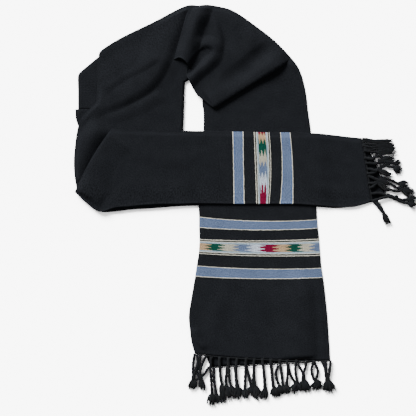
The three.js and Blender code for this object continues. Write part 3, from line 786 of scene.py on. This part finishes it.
@dataclass(frozen=True)
class WoolCloth:
    """Fine matt wool cloth, plain or with the striped end's bands.

    Args:
        name: The material's name.
        banded: Whether the stripes and the flame band are woven in.
        roughness: How matt it is.
        specular: How much light it mirrors.
        relief: Strength of its weave's bump.
    """

    name: str
    banded: bool
    roughness: float = 0.9
    specular: float = 0.05
    relief: float = 0.22

    def make(self) -> bpy.types.Material:
        """Return the material."""
        material, desk, shader = fresh_material(self.name)
        uv = desk.add("ShaderNodeUVMap", uv_map="cloth").outputs[0]
        millimetres = desk.add("ShaderNodeVectorMath", operation="SCALE")
        desk.put(millimetres.inputs[0], uv)
        millimetres.inputs["Scale"].default_value = 1000.0
        place = millimetres.outputs[0]
        parts = desk.add("ShaderNodeSeparateXYZ")
        desk.put(parts.inputs[0], place)
        across, along = parts.outputs[0], parts.outputs[1]
        cloudy = desk.range(desk.noise(place, 0.03, 3.0), 0.9, 1.1)
        slub = desk.range(desk.noise(place, 0.45, 2.0), 0.5, 1.6)
        shade = desk.math("MULTIPLY", cloudy, slub)
        colour = self._bands(desk, across, along, place) if self.banded else BLACK
        desk.put(shader.inputs["Base Color"], desk.shaded(colour, shade))
        shader.inputs["Roughness"].default_value = self.roughness
        shader.inputs["Specular IOR Level"].default_value = self.specular
        desk.put(shader.inputs["Normal"], self._weave(desk, across, along, place))
        return material

    def _weave(self, desk: NodeDesk, across: object, along: object, place: object) -> bpy.types.NodeSocket:
        """Return the bump of the weave and the yarn's slubs.

        Args:
            desk: The material's desk.
            across: Place across the cloth.
            along: Place along the cloth.
            place: Both together.

        Returns:
            The bumped normal's socket.
        """
        warp = desk.math("SINE", desk.math("MULTIPLY", across, math.tau / WEAVE_PITCH))
        weft = desk.math("SINE", desk.math("MULTIPLY", along, math.tau / WEAVE_PITCH))
        woven = desk.math("MULTIPLY", warp, weft)
        slubs = desk.math("MULTIPLY", desk.noise(place, 0.4, 3.0), 1.6)
        return desk.raised(desk.math("ADD", woven, slubs), self.relief)

    @staticmethod
    def _bands(desk: NodeDesk, across: object, along: object, place: object) -> bpy.types.NodeSocket:
        """Return the colour of the banded end.

        Args:
            desk: The material's desk.
            across: Place across the cloth.
            along: Distance from the hem.
            place: Both together.

        Returns:
            The colour's socket.
        """
        wander = desk.math("SUBTRACT", desk.noise(place, 0.1, 3.0), 0.5)
        shifted = desk.math("ADD", along, desk.math("MULTIPLY", wander, 2.6))
        colour: object = BLACK
        for band in BANDS:
            middle = (band.low + band.high) / 2
            inside = desk.math("COMPARE", shifted, middle, (band.high - band.low) / 2)
            colour = desk.mix(inside, colour, band.tint)
        low, high = FLAME_BAND
        height = high - low
        pick = desk.math("SNAP", desk.math("SUBTRACT", along, low), height / FLAME_PICKS)
        teeth = desk.math("PINGPONG", desk.math("MULTIPLY", pick, FLAME_TEETH / height), 1.0)
        lead = desk.math("SUBTRACT", FLAME_REACH, desk.math("MULTIPLY", teeth, 2 * FLAME_REACH))
        picks = desk.add("ShaderNodeCombineXYZ")
        desk.put(picks.inputs[0], desk.math("MULTIPLY", across, 0.045))
        desk.put(picks.inputs[1], desk.math("MULTIPLY", pick, 0.9))
        ragged = desk.math("SUBTRACT", desk.noise(picks.outputs[0], 1.0, 1.0), 0.5)
        ragged = desk.math("MULTIPLY", ragged, FLAME_RAGGED)
        led = desk.math("SUBTRACT", desk.math("SUBTRACT", across, lead), ragged)
        turn = desk.math("FLOOR", desk.math("DIVIDE", led, FLAME_WIDTH))
        turn = desk.math("FLOORED_MODULO", turn, float(len(FLAME_TINTS)))
        flames: object = FLAME_TINTS[0]
        for index, tint in enumerate(FLAME_TINTS[1:], 1):
            flames = desk.mix(desk.math("COMPARE", turn, float(index), 0.5), flames, tint)
        inside = desk.math("COMPARE", along, (low + high) / 2, height / 2)
        return desk.mix(inside, colour, flames)


@dataclass(frozen=True)
class Yarn:
    """Twisted wool yarn of the fringe.

    Args:
        name: The material's name.
        tint: Its colour.
        roughness: How matt it is.
        specular: How much light it mirrors.
        sheen: Strength of the pale down on it.
        relief: Strength of its fibres' bump.
    """

    name: str
    tint: Tint
    roughness: float = 0.88
    specular: float = 0.2
    sheen: float = 0.08
    relief: float = 0.4

    def make(self) -> bpy.types.Material:
        """Return the material."""
        material, desk, shader = fresh_material(self.name)
        place = desk.add("ShaderNodeTexCoord").outputs["Object"]
        shade = desk.range(desk.noise(place, 260.0, 2.0), 0.7, 1.35)
        desk.put(shader.inputs["Base Color"], desk.shaded(self.tint, shade))
        shader.inputs["Roughness"].default_value = self.roughness
        shader.inputs["Specular IOR Level"].default_value = self.specular
        shader.inputs["Sheen Weight"].default_value = self.sheen
        desk.put(shader.inputs["Normal"], desk.raised(desk.noise(place, 900.0, 3.0), self.relief))
        return material


@dataclass(frozen=True)
class PaleFloor:
    """Plain pale floor that the muffler lies on, lit up to near white.

    Args:
        name: The material's name.
        gain: How bright the camera sees it.
        plain: How bright it is to the cloth's own light.
    """

    name: str = "pale_floor"
    gain: float = 8.4
    plain: float = 0.6

    def make(self) -> bpy.types.Material:
        """Return the material."""
        material, desk, shader = fresh_material(self.name)
        material.node_tree.nodes.remove(shader)
        bright = desk.add("ShaderNodeBsdfDiffuse")
        bright.inputs["Color"].default_value = (self.gain, self.gain, self.gain, 1.0)
        plain = desk.add("ShaderNodeBsdfDiffuse")
        plain.inputs["Color"].default_value = (self.plain, self.plain, self.plain, 1.0)
        mixed = desk.add("ShaderNodeMixShader")
        desk.put(mixed.inputs[0], desk.add("ShaderNodeLightPath").outputs["Is Camera Ray"])
        desk.put(mixed.inputs[1], plain.outputs[0])
        desk.put(mixed.inputs[2], bright.outputs[0])
        desk.put(material.node_tree.nodes["Material Output"].inputs["Surface"], mixed.outputs[0])
        return material


PLAIN_WOOL = WoolCloth("plain_black_wool", False)
BANDED_WOOL = WoolCloth("banded_black_wool", True)
FRINGE_YARN = Yarn("twisted_black_yarn", (0.0095, 0.0108, 0.0130, 1.0))
FINISHES: dict[str, bpy.types.Material] = {}


def finish_of(finish: WoolCloth | Yarn | PaleFloor) -> bpy.types.Material:
    """Return a finish's material, made once."""
    if finish.name not in FINISHES:
        FINISHES[finish.name] = finish.make()
    return FINISHES[finish.name]


def metres(x: float, y: float, z: float) -> Vector:
    """Return a place in the part's frame, from plan millimetres."""
    return Vector(((x - CENTRE[0]) * MM, (y - CENTRE[1]) * MM, z * MM))


def placed(name: str, bm: bmesh.types.BMesh) -> bpy.types.Object:
    """Return a new object at the origin that holds a finished mesh.

    Args:
        name: The object's name.
        bm: Its mesh, which is used up.

    Returns:
        The new object.
    """
    mesh = bpy.data.meshes.new(name)
    bm.to_mesh(mesh)
    bm.free()
    mesh.shade_smooth()
    piece = bpy.data.objects.new(name, mesh)
    bpy.context.collection.objects.link(piece)
    return piece


def fitted(piece: bpy.types.Object, finish: WoolCloth | Yarn, node: str) -> None:
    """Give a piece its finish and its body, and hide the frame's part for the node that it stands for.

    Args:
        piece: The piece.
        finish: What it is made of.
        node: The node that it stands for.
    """
    piece.data.materials.append(finish_of(finish))
    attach(piece, "root")
    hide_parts(node)
    LOG.info("%s: %d faces", piece.name, len(piece.data.polygons))


def section_point(one: Plan, two: Plan, share: float, bow: float) -> Plan:
    """Return a plan point of a section, its middle led forward by the bow.

    Args:
        one: The section's first end.
        two: Its second end.
        share: How far between them.
        bow: How far its middle leads its ends.

    Returns:
        The plan point.
    """
    dx = two[0] - one[0]
    dy = two[1] - one[1]
    length = math.hypot(dx, dy)
    lead = 4 * bow * share * (1 - share)
    return (one[0] + dx * share + dy / length * lead, one[1] + dy * share - dx / length * lead)


@dataclass
class Skin:
    """Rows of points with their place on the cloth, made into a closed shell of cloth.

    Args:
        name: The piece's name.
        rows: The rows of points, in metres in the part's frame.
        cloth: Each point's place on the cloth, across and along it.
    """

    name: str
    rows: list[list[Vector]] = field(default_factory=list)
    cloth: list[list[Plan]] = field(default_factory=list)

    def build(self) -> bpy.types.Object:
        """Return the piece, its skin facing out and its wall inside."""
        columns = len(self.rows[0]) - 1
        lines = len(self.rows) - 1
        bm = bmesh.new()
        bmesh.ops.create_grid(bm, x_segments=columns, y_segments=lines, size=0.5)
        layer = bm.loops.layers.uv.new("cloth")
        for face in bm.faces:
            for loop in face.loops:
                line, column = self._cell(loop.vert.co, lines, columns)
                u, v = self.cloth[line][column]
                loop[layer].uv = (u * MM, v * MM)
        for vert in bm.verts:
            line, column = self._cell(vert.co, lines, columns)
            vert.co = self.rows[line][column]
        bm.normal_update()
        upper = [face for face in bm.faces if face.calc_center_median().z > UPPER_SIDE * MM]
        if sum(face.normal.z * face.calc_area() for face in upper) < 0:
            bmesh.ops.reverse_faces(bm, faces=bm.faces[:])
        piece = placed(self.name, bm)
        wall = piece.modifiers.new("wall", "SOLIDIFY")
        wall.thickness = CLOTH_THICKNESS * MM
        wall.offset = -1.0
        return piece

    @staticmethod
    def _cell(place: Vector, lines: int, columns: int) -> tuple[int, int]:
        """Return the row and column of a grid's vertex before it is moved."""
        return round((place.y + 0.5) * lines), round((place.x + 0.5) * columns)


@dataclass
class Stretch:
    """One stretch of the muffler that shows, as a sheet of cloth.

    Args:
        name: The piece's name.
        node: The node that it stands for.
        sections: Its sections.
        folds: Its folds.
        finish: Its cloth.
        flat: Its cut, width and length in metres; not used.
        rests_on: What it lies on; not used.
        pitch: Distance between two rows of the mesh.
        loft: Height that the cloth's middle stands up by.
        calm: Width over which the loft comes down to the lengthwise fold.
        curl: Height that the selvedge curls up by.
        rim: Width over which the cloth comes down to its selvedge, or 0.
        chart: Shares of the width against flame colours, for the band's colours.
    """

    name: str
    node: str
    sections: list[Section]
    folds: list[Fold]
    finish: WoolCloth
    flat: tuple[float, float]
    rests_on: list[str]
    pitch: float = 5.0
    loft: float = 0.0
    calm: float = 12.0
    curl: float = 0.0
    rim: float = 0.0
    chart: list[Plan] = field(default_factory=list)
    piece: bpy.types.Object | None = None

    def stations(self) -> list[float]:
        """Return places along the sections, counted in rows, about one every pitch.

        Returns:
            The places, the first row's and the last row's among them.
        """
        places = [0.0]
        for row, (one, two) in enumerate(zip(self.sections, self.sections[1:])):
            reach = max(math.dist(one.far, two.far), math.dist(one.edge, two.edge))
            count = max(1, round(reach / self.pitch))
            places += [row + step / count for step in range(1, count + 1)]
        return places

    def value(self, column: str, place: float) -> float:
        """Return a column's value between two rows, eased.

        Args:
            column: The column's name.
            place: The place, counted in rows.

        Returns:
            The value.
        """
        first = min(int(place), len(self.sections) - 2)
        one = getattr(self.sections[first], column)
        two = getattr(self.sections[first + 1], column)
        return lerp(one, two, smooth(place - first))

    def run(self, place: float) -> float:
        """Return the distance from the hem between two rows."""
        first = min(int(place), len(self.sections) - 2)
        return lerp(self.sections[first].run, self.sections[first + 1].run, place - first)

    def across(self, share: float, width: float) -> float:
        """Return the place across the cloth, by the chart where there is one.

        Args:
            share: Share of the width.
            width: The section's width.

        Returns:
            The distance across, in millimetres.
        """
        for one, two in zip(self.chart, self.chart[1:]):
            if one[0] <= share <= two[0]:
                return FLAME_WIDTH * lerp(one[1], two[1], (share - one[0]) / (two[0] - one[0]))
        return share * width

    def curled(self, inside: float) -> float:
        """Return how far the cloth curls up at a distance from its selvedge."""
        return self.curl * smooth(1.0 - inside / CURL_WIDTH)

    def curve(self, column: str) -> PlanCurve:
        """Return the smooth curve through one column of the sections."""
        return PlanCurve([getattr(section, column) for section in self.sections])

    def dress(self) -> None:
        """Give the piece its cloth and its body, and hide its node's part."""
        fitted(self.piece, self.finish, self.node)


@dataclass
class DoubledStretch(Stretch):
    """Cloth folded lengthwise, its two edges lying on each other.

    Args:
        top_pitch: Distance between two points of the upper layer, across.
        under_steps: Steps across the under layer.
        turned: Radius of the turn that closes the first end, or 0.
    """

    top_pitch: float = 5.0
    under_steps: int = 12
    turned: float = 0.0

    def build(self) -> None:
        """Build the upper layer, the fold and the under layer as one skin."""
        relief = Relief(self.folds, self.loft)
        skin = Skin(self.name)
        for place in self.stations():
            row, cloth = self._row(relief, place)
            skin.rows.append(row)
            skin.cloth.append(cloth)
        if self.turned:
            self._close(skin)
        self.piece = skin.build()

    def _row(self, relief: Relief, place: float) -> tuple[list[Vector], list[Plan]]:
        """Return one row across, with its place on the cloth.

        Args:
            relief: The height of the folds.
            place: The row's place, counted in sections.

        Returns:
            The row's points, and their places on the cloth.
        """
        share = place / (len(self.sections) - 1)
        start, nose, under_start = (self.curve(name).at(share) for name in ("edge", "far", "under"))
        level = self.value("level", place)
        length = math.dist(start, nose)
        ax, ay = (nose[0] - start[0]) / length, (nose[1] - start[1]) / length
        turn = (nose[0] - ax * FOLD_RADIUS, nose[1] - ay * FOLD_RADIUS)
        run = self.run(place)
        skew = self.value("skew", place)
        widest = max(math.dist(section.edge, section.far) for section in self.sections)
        top_steps = round(widest / self.top_pitch)
        row: list[Vector] = []
        cloth: list[Plan] = []
        for step in range(top_steps + 1):
            across = step / top_steps
            x, y = section_point(start, turn, across, self.value("bow", place))
            outside = math.dist((x, y), turn)
            inside = math.dist((x, y), start)
            down = smooth(inside / self.rim) if self.rim else 1.0
            lofted = smooth(outside / self.calm) * down
            lift = settled(relief.at(x, y, lofted)) * smooth(outside / FOLD_CALM) * down
            row.append(metres(x, y, level + PLY + WALL + (lift + self.curled(inside))))
            cloth.append((self.across(across, length), run))
        for angle in (60, 30, 0, -30, -60):
            out = FOLD_RADIUS * math.cos(math.radians(angle))
            up = FOLD_RADIUS * math.sin(math.radians(angle))
            row.append(metres(turn[0] + ax * out, turn[1] + ay * out, level + FOLD_RADIUS + up))
            cloth.append((self.across(1.0, length) + (90 - angle) / 180 * FOLD_CLOTH, run))
        for step in range(self.under_steps, -1, -1):
            across = step / self.under_steps
            x, y = section_point(under_start, turn, across, self.value("under_bow", place))
            row.append(metres(x, y, level))
            past_fold = FOLD_CLOTH + (1 - across) * length
            cloth.append((self.across(1.0, length) + past_fold, run + skew * (1 - across)))
        return row, cloth

    def _close(self, skin: Skin) -> None:
        """Bring the two layers together round a soft turn at the first end.

        Args:
            skin: The skin being made.
        """
        first, second = skin.rows[0], skin.rows[1]
        low = min(point.z for point in first)
        away = (first[0] - second[0]).xy.normalized()
        for angle in (30, 60, 90):
            out = math.sin(math.radians(angle)) * self.turned * MM
            keep = 0.5 + 0.5 * math.cos(math.radians(angle))
            row = []
            for point in first:
                height = low + (point.z - low) * keep
                row.append(Vector((point.x + away.x * out, point.y + away.y * out, height)))
            skin.rows.insert(0, row)
            skin.cloth.insert(0, [(u, v + 2.0 * angle / 30) for u, v in skin.cloth[0]])


@dataclass
class SingleStretch(Stretch):
    """Single cloth from its inner edge to its outer one, which may come down.

    Args:
        across_pitch: Distance between two points across.
        tuck: Length of cloth turned under at both ends, or 0.
    """

    across_pitch: float = 5.0
    tuck: float = 0.0

    def build(self) -> None:
        """Build the cloth as one skin, its two end folds tucked under."""
        relief = Relief(self.folds, self.loft)
        edge, far = self.curve("edge"), self.curve("far")
        widest = max(math.dist(section.edge, section.far) for section in self.sections)
        steps = round(widest / self.across_pitch)
        last = len(self.sections) - 1
        skin = Skin(self.name)
        floors: list[float] = []
        for place in self.stations():
            share = place / last
            start, end = edge.at(share), far.at(share)
            level = self.value("level", place)
            drop = self.value("drop", place)
            row: list[Vector] = []
            cloth: list[Plan] = []
            for step in range(steps + 1):
                across = step / steps
                x, y = section_point(start, end, across, self.value("bow", place))
                outside = math.dist((x, y), end)
                down = drop * (1 - smooth(outside / DROP_WIDTH))
                lift = settled(relief.at(x, y, smooth(outside / self.calm))) * smooth(outside / FOLD_CALM)
                lift += self.curled(math.dist((x, y), start))
                row.append(metres(x, y, level - down + WALL + lift))
                cloth.append((across * math.dist(start, end), self.run(place)))
            skin.rows.append(row)
            skin.cloth.append(cloth)
            floors.append(level - drop)
        if self.tuck:
            self._turn_under(skin, floors[0] * MM, True)
            self._turn_under(skin, floors[-1] * MM, False)
        self.piece = skin.build()

    def _turn_under(self, skin: Skin, floor: float, at_start: bool) -> None:
        """Turn one end of the cloth under, round a soft roll.

        Args:
            skin: The skin being made.
            floor: Height of what the cloth lies on, in metres.
            at_start: Whether it is the first end.
        """
        end, inner = (skin.rows[0], skin.rows[2]) if at_start else (skin.rows[-1], skin.rows[-3])
        cloth = skin.cloth[0] if at_start else skin.cloth[-1]
        turns: list[tuple[list[Vector], list[Plan]]] = []
        for angle in (45, 90, 135, 180, 181):  # the last is the tucked length past the roll
            row = []
            for point, behind in zip(end, inner):
                away = (point - behind).xy.normalized()
                radius = max((point.z - floor) / 2, LEAST_ROLL * MM)
                turn = math.radians(min(angle, 180))
                out = math.sin(turn) * radius
                back = self.tuck * MM if angle > 180 else 0.0
                height = floor + radius * (1 + math.cos(turn))
                row.append(Vector((point.x + away.x * (out - back), point.y + away.y * (out - back), height)))
            turns.append((row, [(u, v + angle / 30) for u, v in cloth]))
        for row, places in turns:
            if at_start:
                skin.rows.insert(0, row)
                skin.cloth.insert(0, places)
            else:
                skin.rows.append(row)
                skin.cloth.append(places)


CORD_RADIUS = 3.6
CORD_PITCH = 3.6  # distance between two rings of a cord
CORD_TWIST = 12.0  # length of one turn of its plies
CORD_ARCH = 2.4  # most that a cord's middle stands up over its ends
PLY_LOBE = 0.14  # share by which the two plies swell a cord
HEM_RADIUS = 1.5  # radius of the knotted strip
HEM_TWIST = 6.0
HEM_STEPS = 60
HEM_GAP = 1.8  # how far the knotted strip lies outside the hem
FLOOR_GAP = 0.5  # clearance over the floor
KNOT_RADIUS = CORD_RADIUS * 1.3
TASSEL_HEART = 0.38  # share of a tassel's length to its heart's middle, and the heart's half length
TASSEL_HEIGHT = 0.45  # half height of the heart as a share of the tassel's half width
TASSEL_ENDS = 22
END_STEPS = 6
END_LOWEST = 1.6  # least height of a loose end of yarn
END_RADII = (2.1, 0.8)  # of a loose end, at the knot and at its tip


@dataclass
class Fringe:
    """Twisted cords with soft tassels along one layer of a hem.

    Args:
        name: The piece's name.
        node: The node that it stands for.
        cords: Its cords.
        sections: The stretch whose end carries it.
        layer: Which layer it hangs from.
        seed: Start of the yarn ends' scatter.
        fullness: Width of its tassels as a share of their cords' tables.
    """

    name: str
    node: str
    cords: list[Cord]
    sections: list[Section]
    layer: Layer
    seed: int
    fullness: float
    piece: bpy.types.Object | None = None

    def height(self) -> float:
        """Return the height of a cord's middle above the floor."""
        lowest = PLY + SEAM if self.layer is Layer.UPPER else FLOOR_GAP
        return lowest + CORD_RADIUS

    def build(self) -> None:
        """Build the knotted hem, the cords, their knots and the tassels."""
        bm = bmesh.new()
        scatter = random.Random(self.seed)
        self._rope(bm, self._hem(), HEM_RADIUS, HEM_RADIUS, HEM_TWIST)
        for cord in self.cords:
            self._cord(bm, cord, scatter)
        self.piece = placed(self.name, bm)

    def _hem(self) -> list[Vector]:
        """Return the middle line of the knotted strip, a little outside the hem.

        Returns:
            Its points, in plan millimetres.
        """
        column, bow, reach = self.layer.value
        last = self.sections[-1]
        start, end = getattr(last, column), last.far
        length = math.dist(start, end)
        away = ((end[1] - start[1]) / length, -(end[0] - start[0]) / length)
        line = []
        for step in range(HEM_STEPS + 1):
            x, y = section_point(start, end, reach * step / HEM_STEPS, getattr(last, bow))
            line.append(Vector((x + away[0] * HEM_GAP, y + away[1] * HEM_GAP, self.height())))
        return line

    def _cord(self, bm: bmesh.types.BMesh, cord: Cord, scatter: random.Random) -> None:
        """Add one cord, its knot and its tassel.

        Args:
            bm: The mesh being made.
            cord: The cord.
            scatter: The draws that spread the loose ends.
        """
        curve = PlanCurve([cord.root, *cord.via, cord.head])
        reach = math.dist(cord.root, cord.head)
        steps = max(8, round(reach / CORD_PITCH))
        over = scatter.uniform(0.0, CORD_ARCH)
        line = []
        for step in range(steps + 1):
            share = step / steps
            x, y = curve.at(share)
            line.append(Vector((x, y, self.height() + over * math.sin(math.pi * share))))
        self._rope(bm, line, CORD_RADIUS, CORD_RADIUS * 1.05, CORD_TWIST)
        knot = Vector((*cord.head, self.height()))
        self._knot(bm, knot)
        along = Vector((cord.tip[0] - cord.head[0], cord.tip[1] - cord.head[1], 0.0))
        half = cord.half * self.fullness
        self._heart(bm, knot + along * TASSEL_HEART, along, half)
        for _ in range(TASSEL_ENDS):
            self._rope(bm, self._loose_end(knot, along, half, scatter), *END_RADII, 0.0, sides=4)

    @staticmethod
    def _loose_end(knot: Vector, along: Vector, half: float, scatter: random.Random) -> list[Vector]:
        """Return the line of one loose end of a tassel.

        Args:
            knot: Where the tassel begins.
            along: The way to its tip, as long as the tassel.
            half: The tassel's half width.
            scatter: The draws that spread the ends.

        Returns:
            Points from the knot outward, kept clear of the floor.
        """
        side = Vector((-along.y, along.x, 0.0)).normalized()
        spread = scatter.uniform(-1.0, 1.0)
        rise = scatter.uniform(-0.3, 1.0)
        length = scatter.uniform(0.76, 1.06) * (1.0 - 0.12 * spread * spread)
        line = []
        for step in range(END_STEPS + 1):
            share = step / END_STEPS
            # It fans out from the knot, then draws in a little, waves, and rises in the middle.
            fan = half * spread * math.sin(min(share * 2.6, 1.8)) * 0.96
            wave = 0.7 * math.sin(share * 8 + spread * 9)
            lift = 0.5 * half * rise * math.sin(math.pi * min(share * 1.1, 1.0))
            point = knot + along * share * length + side * (fan + wave) + Vector((0, 0, lift))
            line.append(Vector((point.x, point.y, max(point.z, END_LOWEST))))
        return line

    @staticmethod
    def _heart(bm: bmesh.types.BMesh, middle: Vector, along: Vector, half: float) -> None:
        """Add the full heart of a tassel, along its length.

        Args:
            bm: The mesh being made.
            middle: Its middle.
            along: The way from the knot to the tip, as long as the tassel.
            half: The tassel's half width.
        """
        made = bmesh.ops.create_icosphere(bm, subdivisions=2, radius=1.0)
        forward = along.normalized()
        side = Vector((forward.y, -forward.x, 0.0))
        reach = along.length * TASSEL_HEART
        height = half * TASSEL_HEIGHT
        for vert in made["verts"]:
            rough = 1.0 + 0.16 * noise.noise(vert.co * 2.3 + middle)
            spot = middle + (forward * vert.co.y * reach + side * vert.co.x * half * 0.86) * rough
            vert.co = metres(spot.x, spot.y, height + FLOOR_GAP + vert.co.z * height * 0.98)

    @staticmethod
    def _knot(bm: bmesh.types.BMesh, place: Vector) -> None:
        """Add one small round knot."""
        made = bmesh.ops.create_icosphere(bm, subdivisions=1, radius=KNOT_RADIUS * MM)
        spot = metres(place.x, place.y, max(place.z, KNOT_RADIUS + SEAM))
        bmesh.ops.translate(bm, verts=made["verts"], vec=spot)

    @staticmethod
    def _rope(
        bm: bmesh.types.BMesh,
        line: list[Vector],
        start: float,
        end: float,
        twist: float,
        sides: int = 8,
    ) -> None:
        """Add a tube of two twisted plies along a line, closed at both ends.

        Args:
            bm: The mesh being made.
            line: Points of its middle, in plan millimetres.
            start: Its radius at the first point.
            end: Its radius at the last point.
            twist: Length of one turn of its plies, or 0 for a single yarn.
            sides: Number of sides.
        """
        points = [line[0], *line, line[-1]]
        rings = len(points) - 1
        made = bmesh.ops.create_grid(bm, x_segments=sides, y_segments=rings, size=0.5)
        walked = 0.0
        walks = [0.0]
        for one, two in zip(points, points[1:]):
            walked += (two - one).length
            walks.append(walked)
        for vert in made["verts"]:
            ring = round((vert.co.y + 0.5) * rings)
            corner = round((vert.co.x + 0.5) * sides) % sides
            before = points[max(ring - 1, 0)]
            after = points[min(ring + 1, rings)]
            along = (after - before).normalized() if (after - before).length > 1e-6 else Vector((0, -1, 0))
            side = Vector((-along.y, along.x, 0.0)).normalized()
            radius = 0.0 if ring in (0, rings) else lerp(start, end, walks[ring] / max(walked, 1e-6))
            angle = math.tau * corner / sides
            if twist:
                radius *= 1.0 + PLY_LOBE * math.cos(2 * angle - math.tau * walks[ring] / twist)
            spot = points[ring] + (side * math.cos(angle) + Vector((0.0, 0.0, math.sin(angle)))) * radius
            vert.co = metres(spot.x, spot.y, spot.z)
        bmesh.ops.remove_doubles(bm, verts=made["verts"], dist=1e-7)

    def dress(self) -> None:
        """Give the piece its yarn and its body, and hide its node's part."""
        fitted(self.piece, FRINGE_YARN, self.node)


@dataclass
class Studio:
    """Pale floor, soft light and a camera straight above, in metres.

    Args:
        view_centre: Where the camera looks.
        view_width: Width of what it sees on the floor.
        lens: Its focal length in millimetres.
        sensor: Its sensor's width in millimetres.
        floor_half: Half the floor's width.
        floor_drop: How far the floor lies under the part.
    """

    view_centre: Plan = (-0.1040, -0.0051)
    view_width: float = 1.0566
    lens: float = 100.0
    sensor: float = 36.0
    floor_half: float = 6.0
    floor_drop: float = 0.0004

    def build(self) -> None:
        """Build the floor, the lights, the sky and the camera."""
        self._floor()
        self._light("key_light", (-1.05, 1.59, 1.2), softness=0.5, power=4.8)
        self._light("side_light", (1.8, 0.5, 1.4), softness=0.8, power=0.2)
        self._sky(strength=0.14)
        self._camera()

    def _floor(self) -> None:
        """Lay the floor just under the part."""
        bm = bmesh.new()
        bmesh.ops.create_grid(bm, x_segments=1, y_segments=1, size=self.floor_half)
        bmesh.ops.translate(bm, verts=bm.verts[:], vec=(0.0, 0.0, -self.floor_drop))
        floor = placed("floor", bm)
        floor.data.materials.append(finish_of(PaleFloor()))

    @staticmethod
    def _light(name: str, place: tuple[float, float, float], softness: float, power: float) -> None:
        """Set one broad soft light that shines from a place to the muffler's middle.

        Args:
            name: The light's name.
            place: Where it shines from.
            softness: How wide it is, as an angle in radians.
            power: Its strength.
        """
        lamp = bpy.data.lights.new(name, "SUN")
        lamp.angle = softness
        lamp.energy = power
        holder = bpy.data.objects.new(name, lamp)
        holder.location = place
        holder.rotation_euler = (-Vector(place)).to_track_quat("-Z", "Y").to_euler()
        bpy.context.collection.objects.link(holder)

    @staticmethod
    def _sky(strength: float) -> None:
        """Set an even pale surround."""
        world = bpy.data.worlds.new("surround")
        world.use_nodes = True
        backdrop = world.node_tree.nodes["Background"]
        backdrop.inputs["Color"].default_value = (1.0, 1.0, 1.0, 1.0)
        backdrop.inputs["Strength"].default_value = strength
        bpy.context.scene.world = world

    def _camera(self) -> None:
        """Set the camera straight above, its top towards the turn."""
        camera = bpy.data.cameras.new("camera")
        camera.lens = self.lens
        camera.sensor_width = self.sensor
        distance = self.view_width / 2 / (self.sensor / 2 / self.lens)
        holder = bpy.data.objects.new("camera", camera)
        holder.location = (self.view_centre[0], self.view_centre[1], distance)
        bpy.context.collection.objects.link(holder)
        bpy.context.scene.camera = holder


@dataclass
class Muffler:
    """The whole muffler.

    Args:
        stretches: Its sheets of cloth, in the order in which they lie.
        fringes: Its fringes.
    """

    stretches: list[Stretch] = field(default_factory=list)
    fringes: list[Fringe] = field(default_factory=list)

    def __post_init__(self) -> None:
        """List the pieces."""
        self.stretches = [
            DoubledStretch("cloth_lower_tail", "lower_tail", LOWER_TAIL, LOWER_TAIL_FOLDS, BANDED_WOOL,
                           (0.66, 0.50), ["floor"], top_pitch=3.6, pitch=4.0, loft=0.6, chart=LOWER_CHART),
            DoubledStretch("cloth_right_strand", "right_strand", RIGHT_STRAND, RIGHT_STRAND_FOLDS, PLAIN_WOOL,
                           (0.53, 0.30), ["floor"]),
            SingleStretch("cloth_left_under", "left_under", LEFT_UNDER, [], PLAIN_WOOL,
                          (0.165, 0.144), ["floor"]),
            SingleStretch("cloth_left_tip", "left_tip", LEFT_TIP, LEFT_TIP_FOLDS, PLAIN_WOOL,
                          (0.108, 0.042), ["floor"], across_pitch=2.5, pitch=2.5),
            DoubledStretch("cloth_left_strand", "left_strand", LEFT_STRAND, LEFT_STRAND_FOLDS, PLAIN_WOOL,
                           (0.52, 0.46), ["floor"], top_pitch=3.2, pitch=3.6, loft=3.4, calm=130.0, rim=5.0),
            SingleStretch("cloth_crown", "crown", CROWN, CROWN_FOLDS, PLAIN_WOOL,
                          (0.20, 0.29), ["cloth_right_strand"], across_pitch=2.4, pitch=2.8, loft=3.6,
                          calm=34.0, curl=1.2, tuck=14.0),
            DoubledStretch("cloth_cross_tail", "cross_tail", CROSS_TAIL, CROSS_TAIL_FOLDS, BANDED_WOOL,
                           (0.38, 0.70), ["cloth_right_strand"], top_pitch=3.2, pitch=4.5, loft=1.6, curl=1.2,
                           turned=2.6, chart=CROSS_CHART),
        ]
        upper, under = Layer.UPPER, Layer.UNDER
        self.fringes = [
            Fringe("yarn_lower_top", "lower_fringe_top", LOWER_FRINGE_TOP, LOWER_TAIL, upper, 3, 1.5),
            Fringe("yarn_lower_under", "lower_fringe_under", LOWER_FRINGE_UNDER, LOWER_TAIL, under, 5, 1.5),
            Fringe("yarn_cross_top", "cross_fringe_top", CROSS_FRINGE_TOP, CROSS_TAIL, upper, 7, 1.0),
            Fringe("yarn_cross_under", "cross_fringe_under", CROSS_FRINGE_UNDER, CROSS_TAIL, under, 11, 1.3),
        ]

    def build(self) -> None:
        """Build and dress every piece."""
        for piece in [*self.stretches, *self.fringes]:
            piece.build()
            piece.dress()


def main() -> None:
    """Build the studio and the muffler."""
    logging.basicConfig(level=logging.INFO, format="%(name)s: %(message)s")
    Studio().build()
    Muffler().build()


if __name__ == "__main__":
    main()
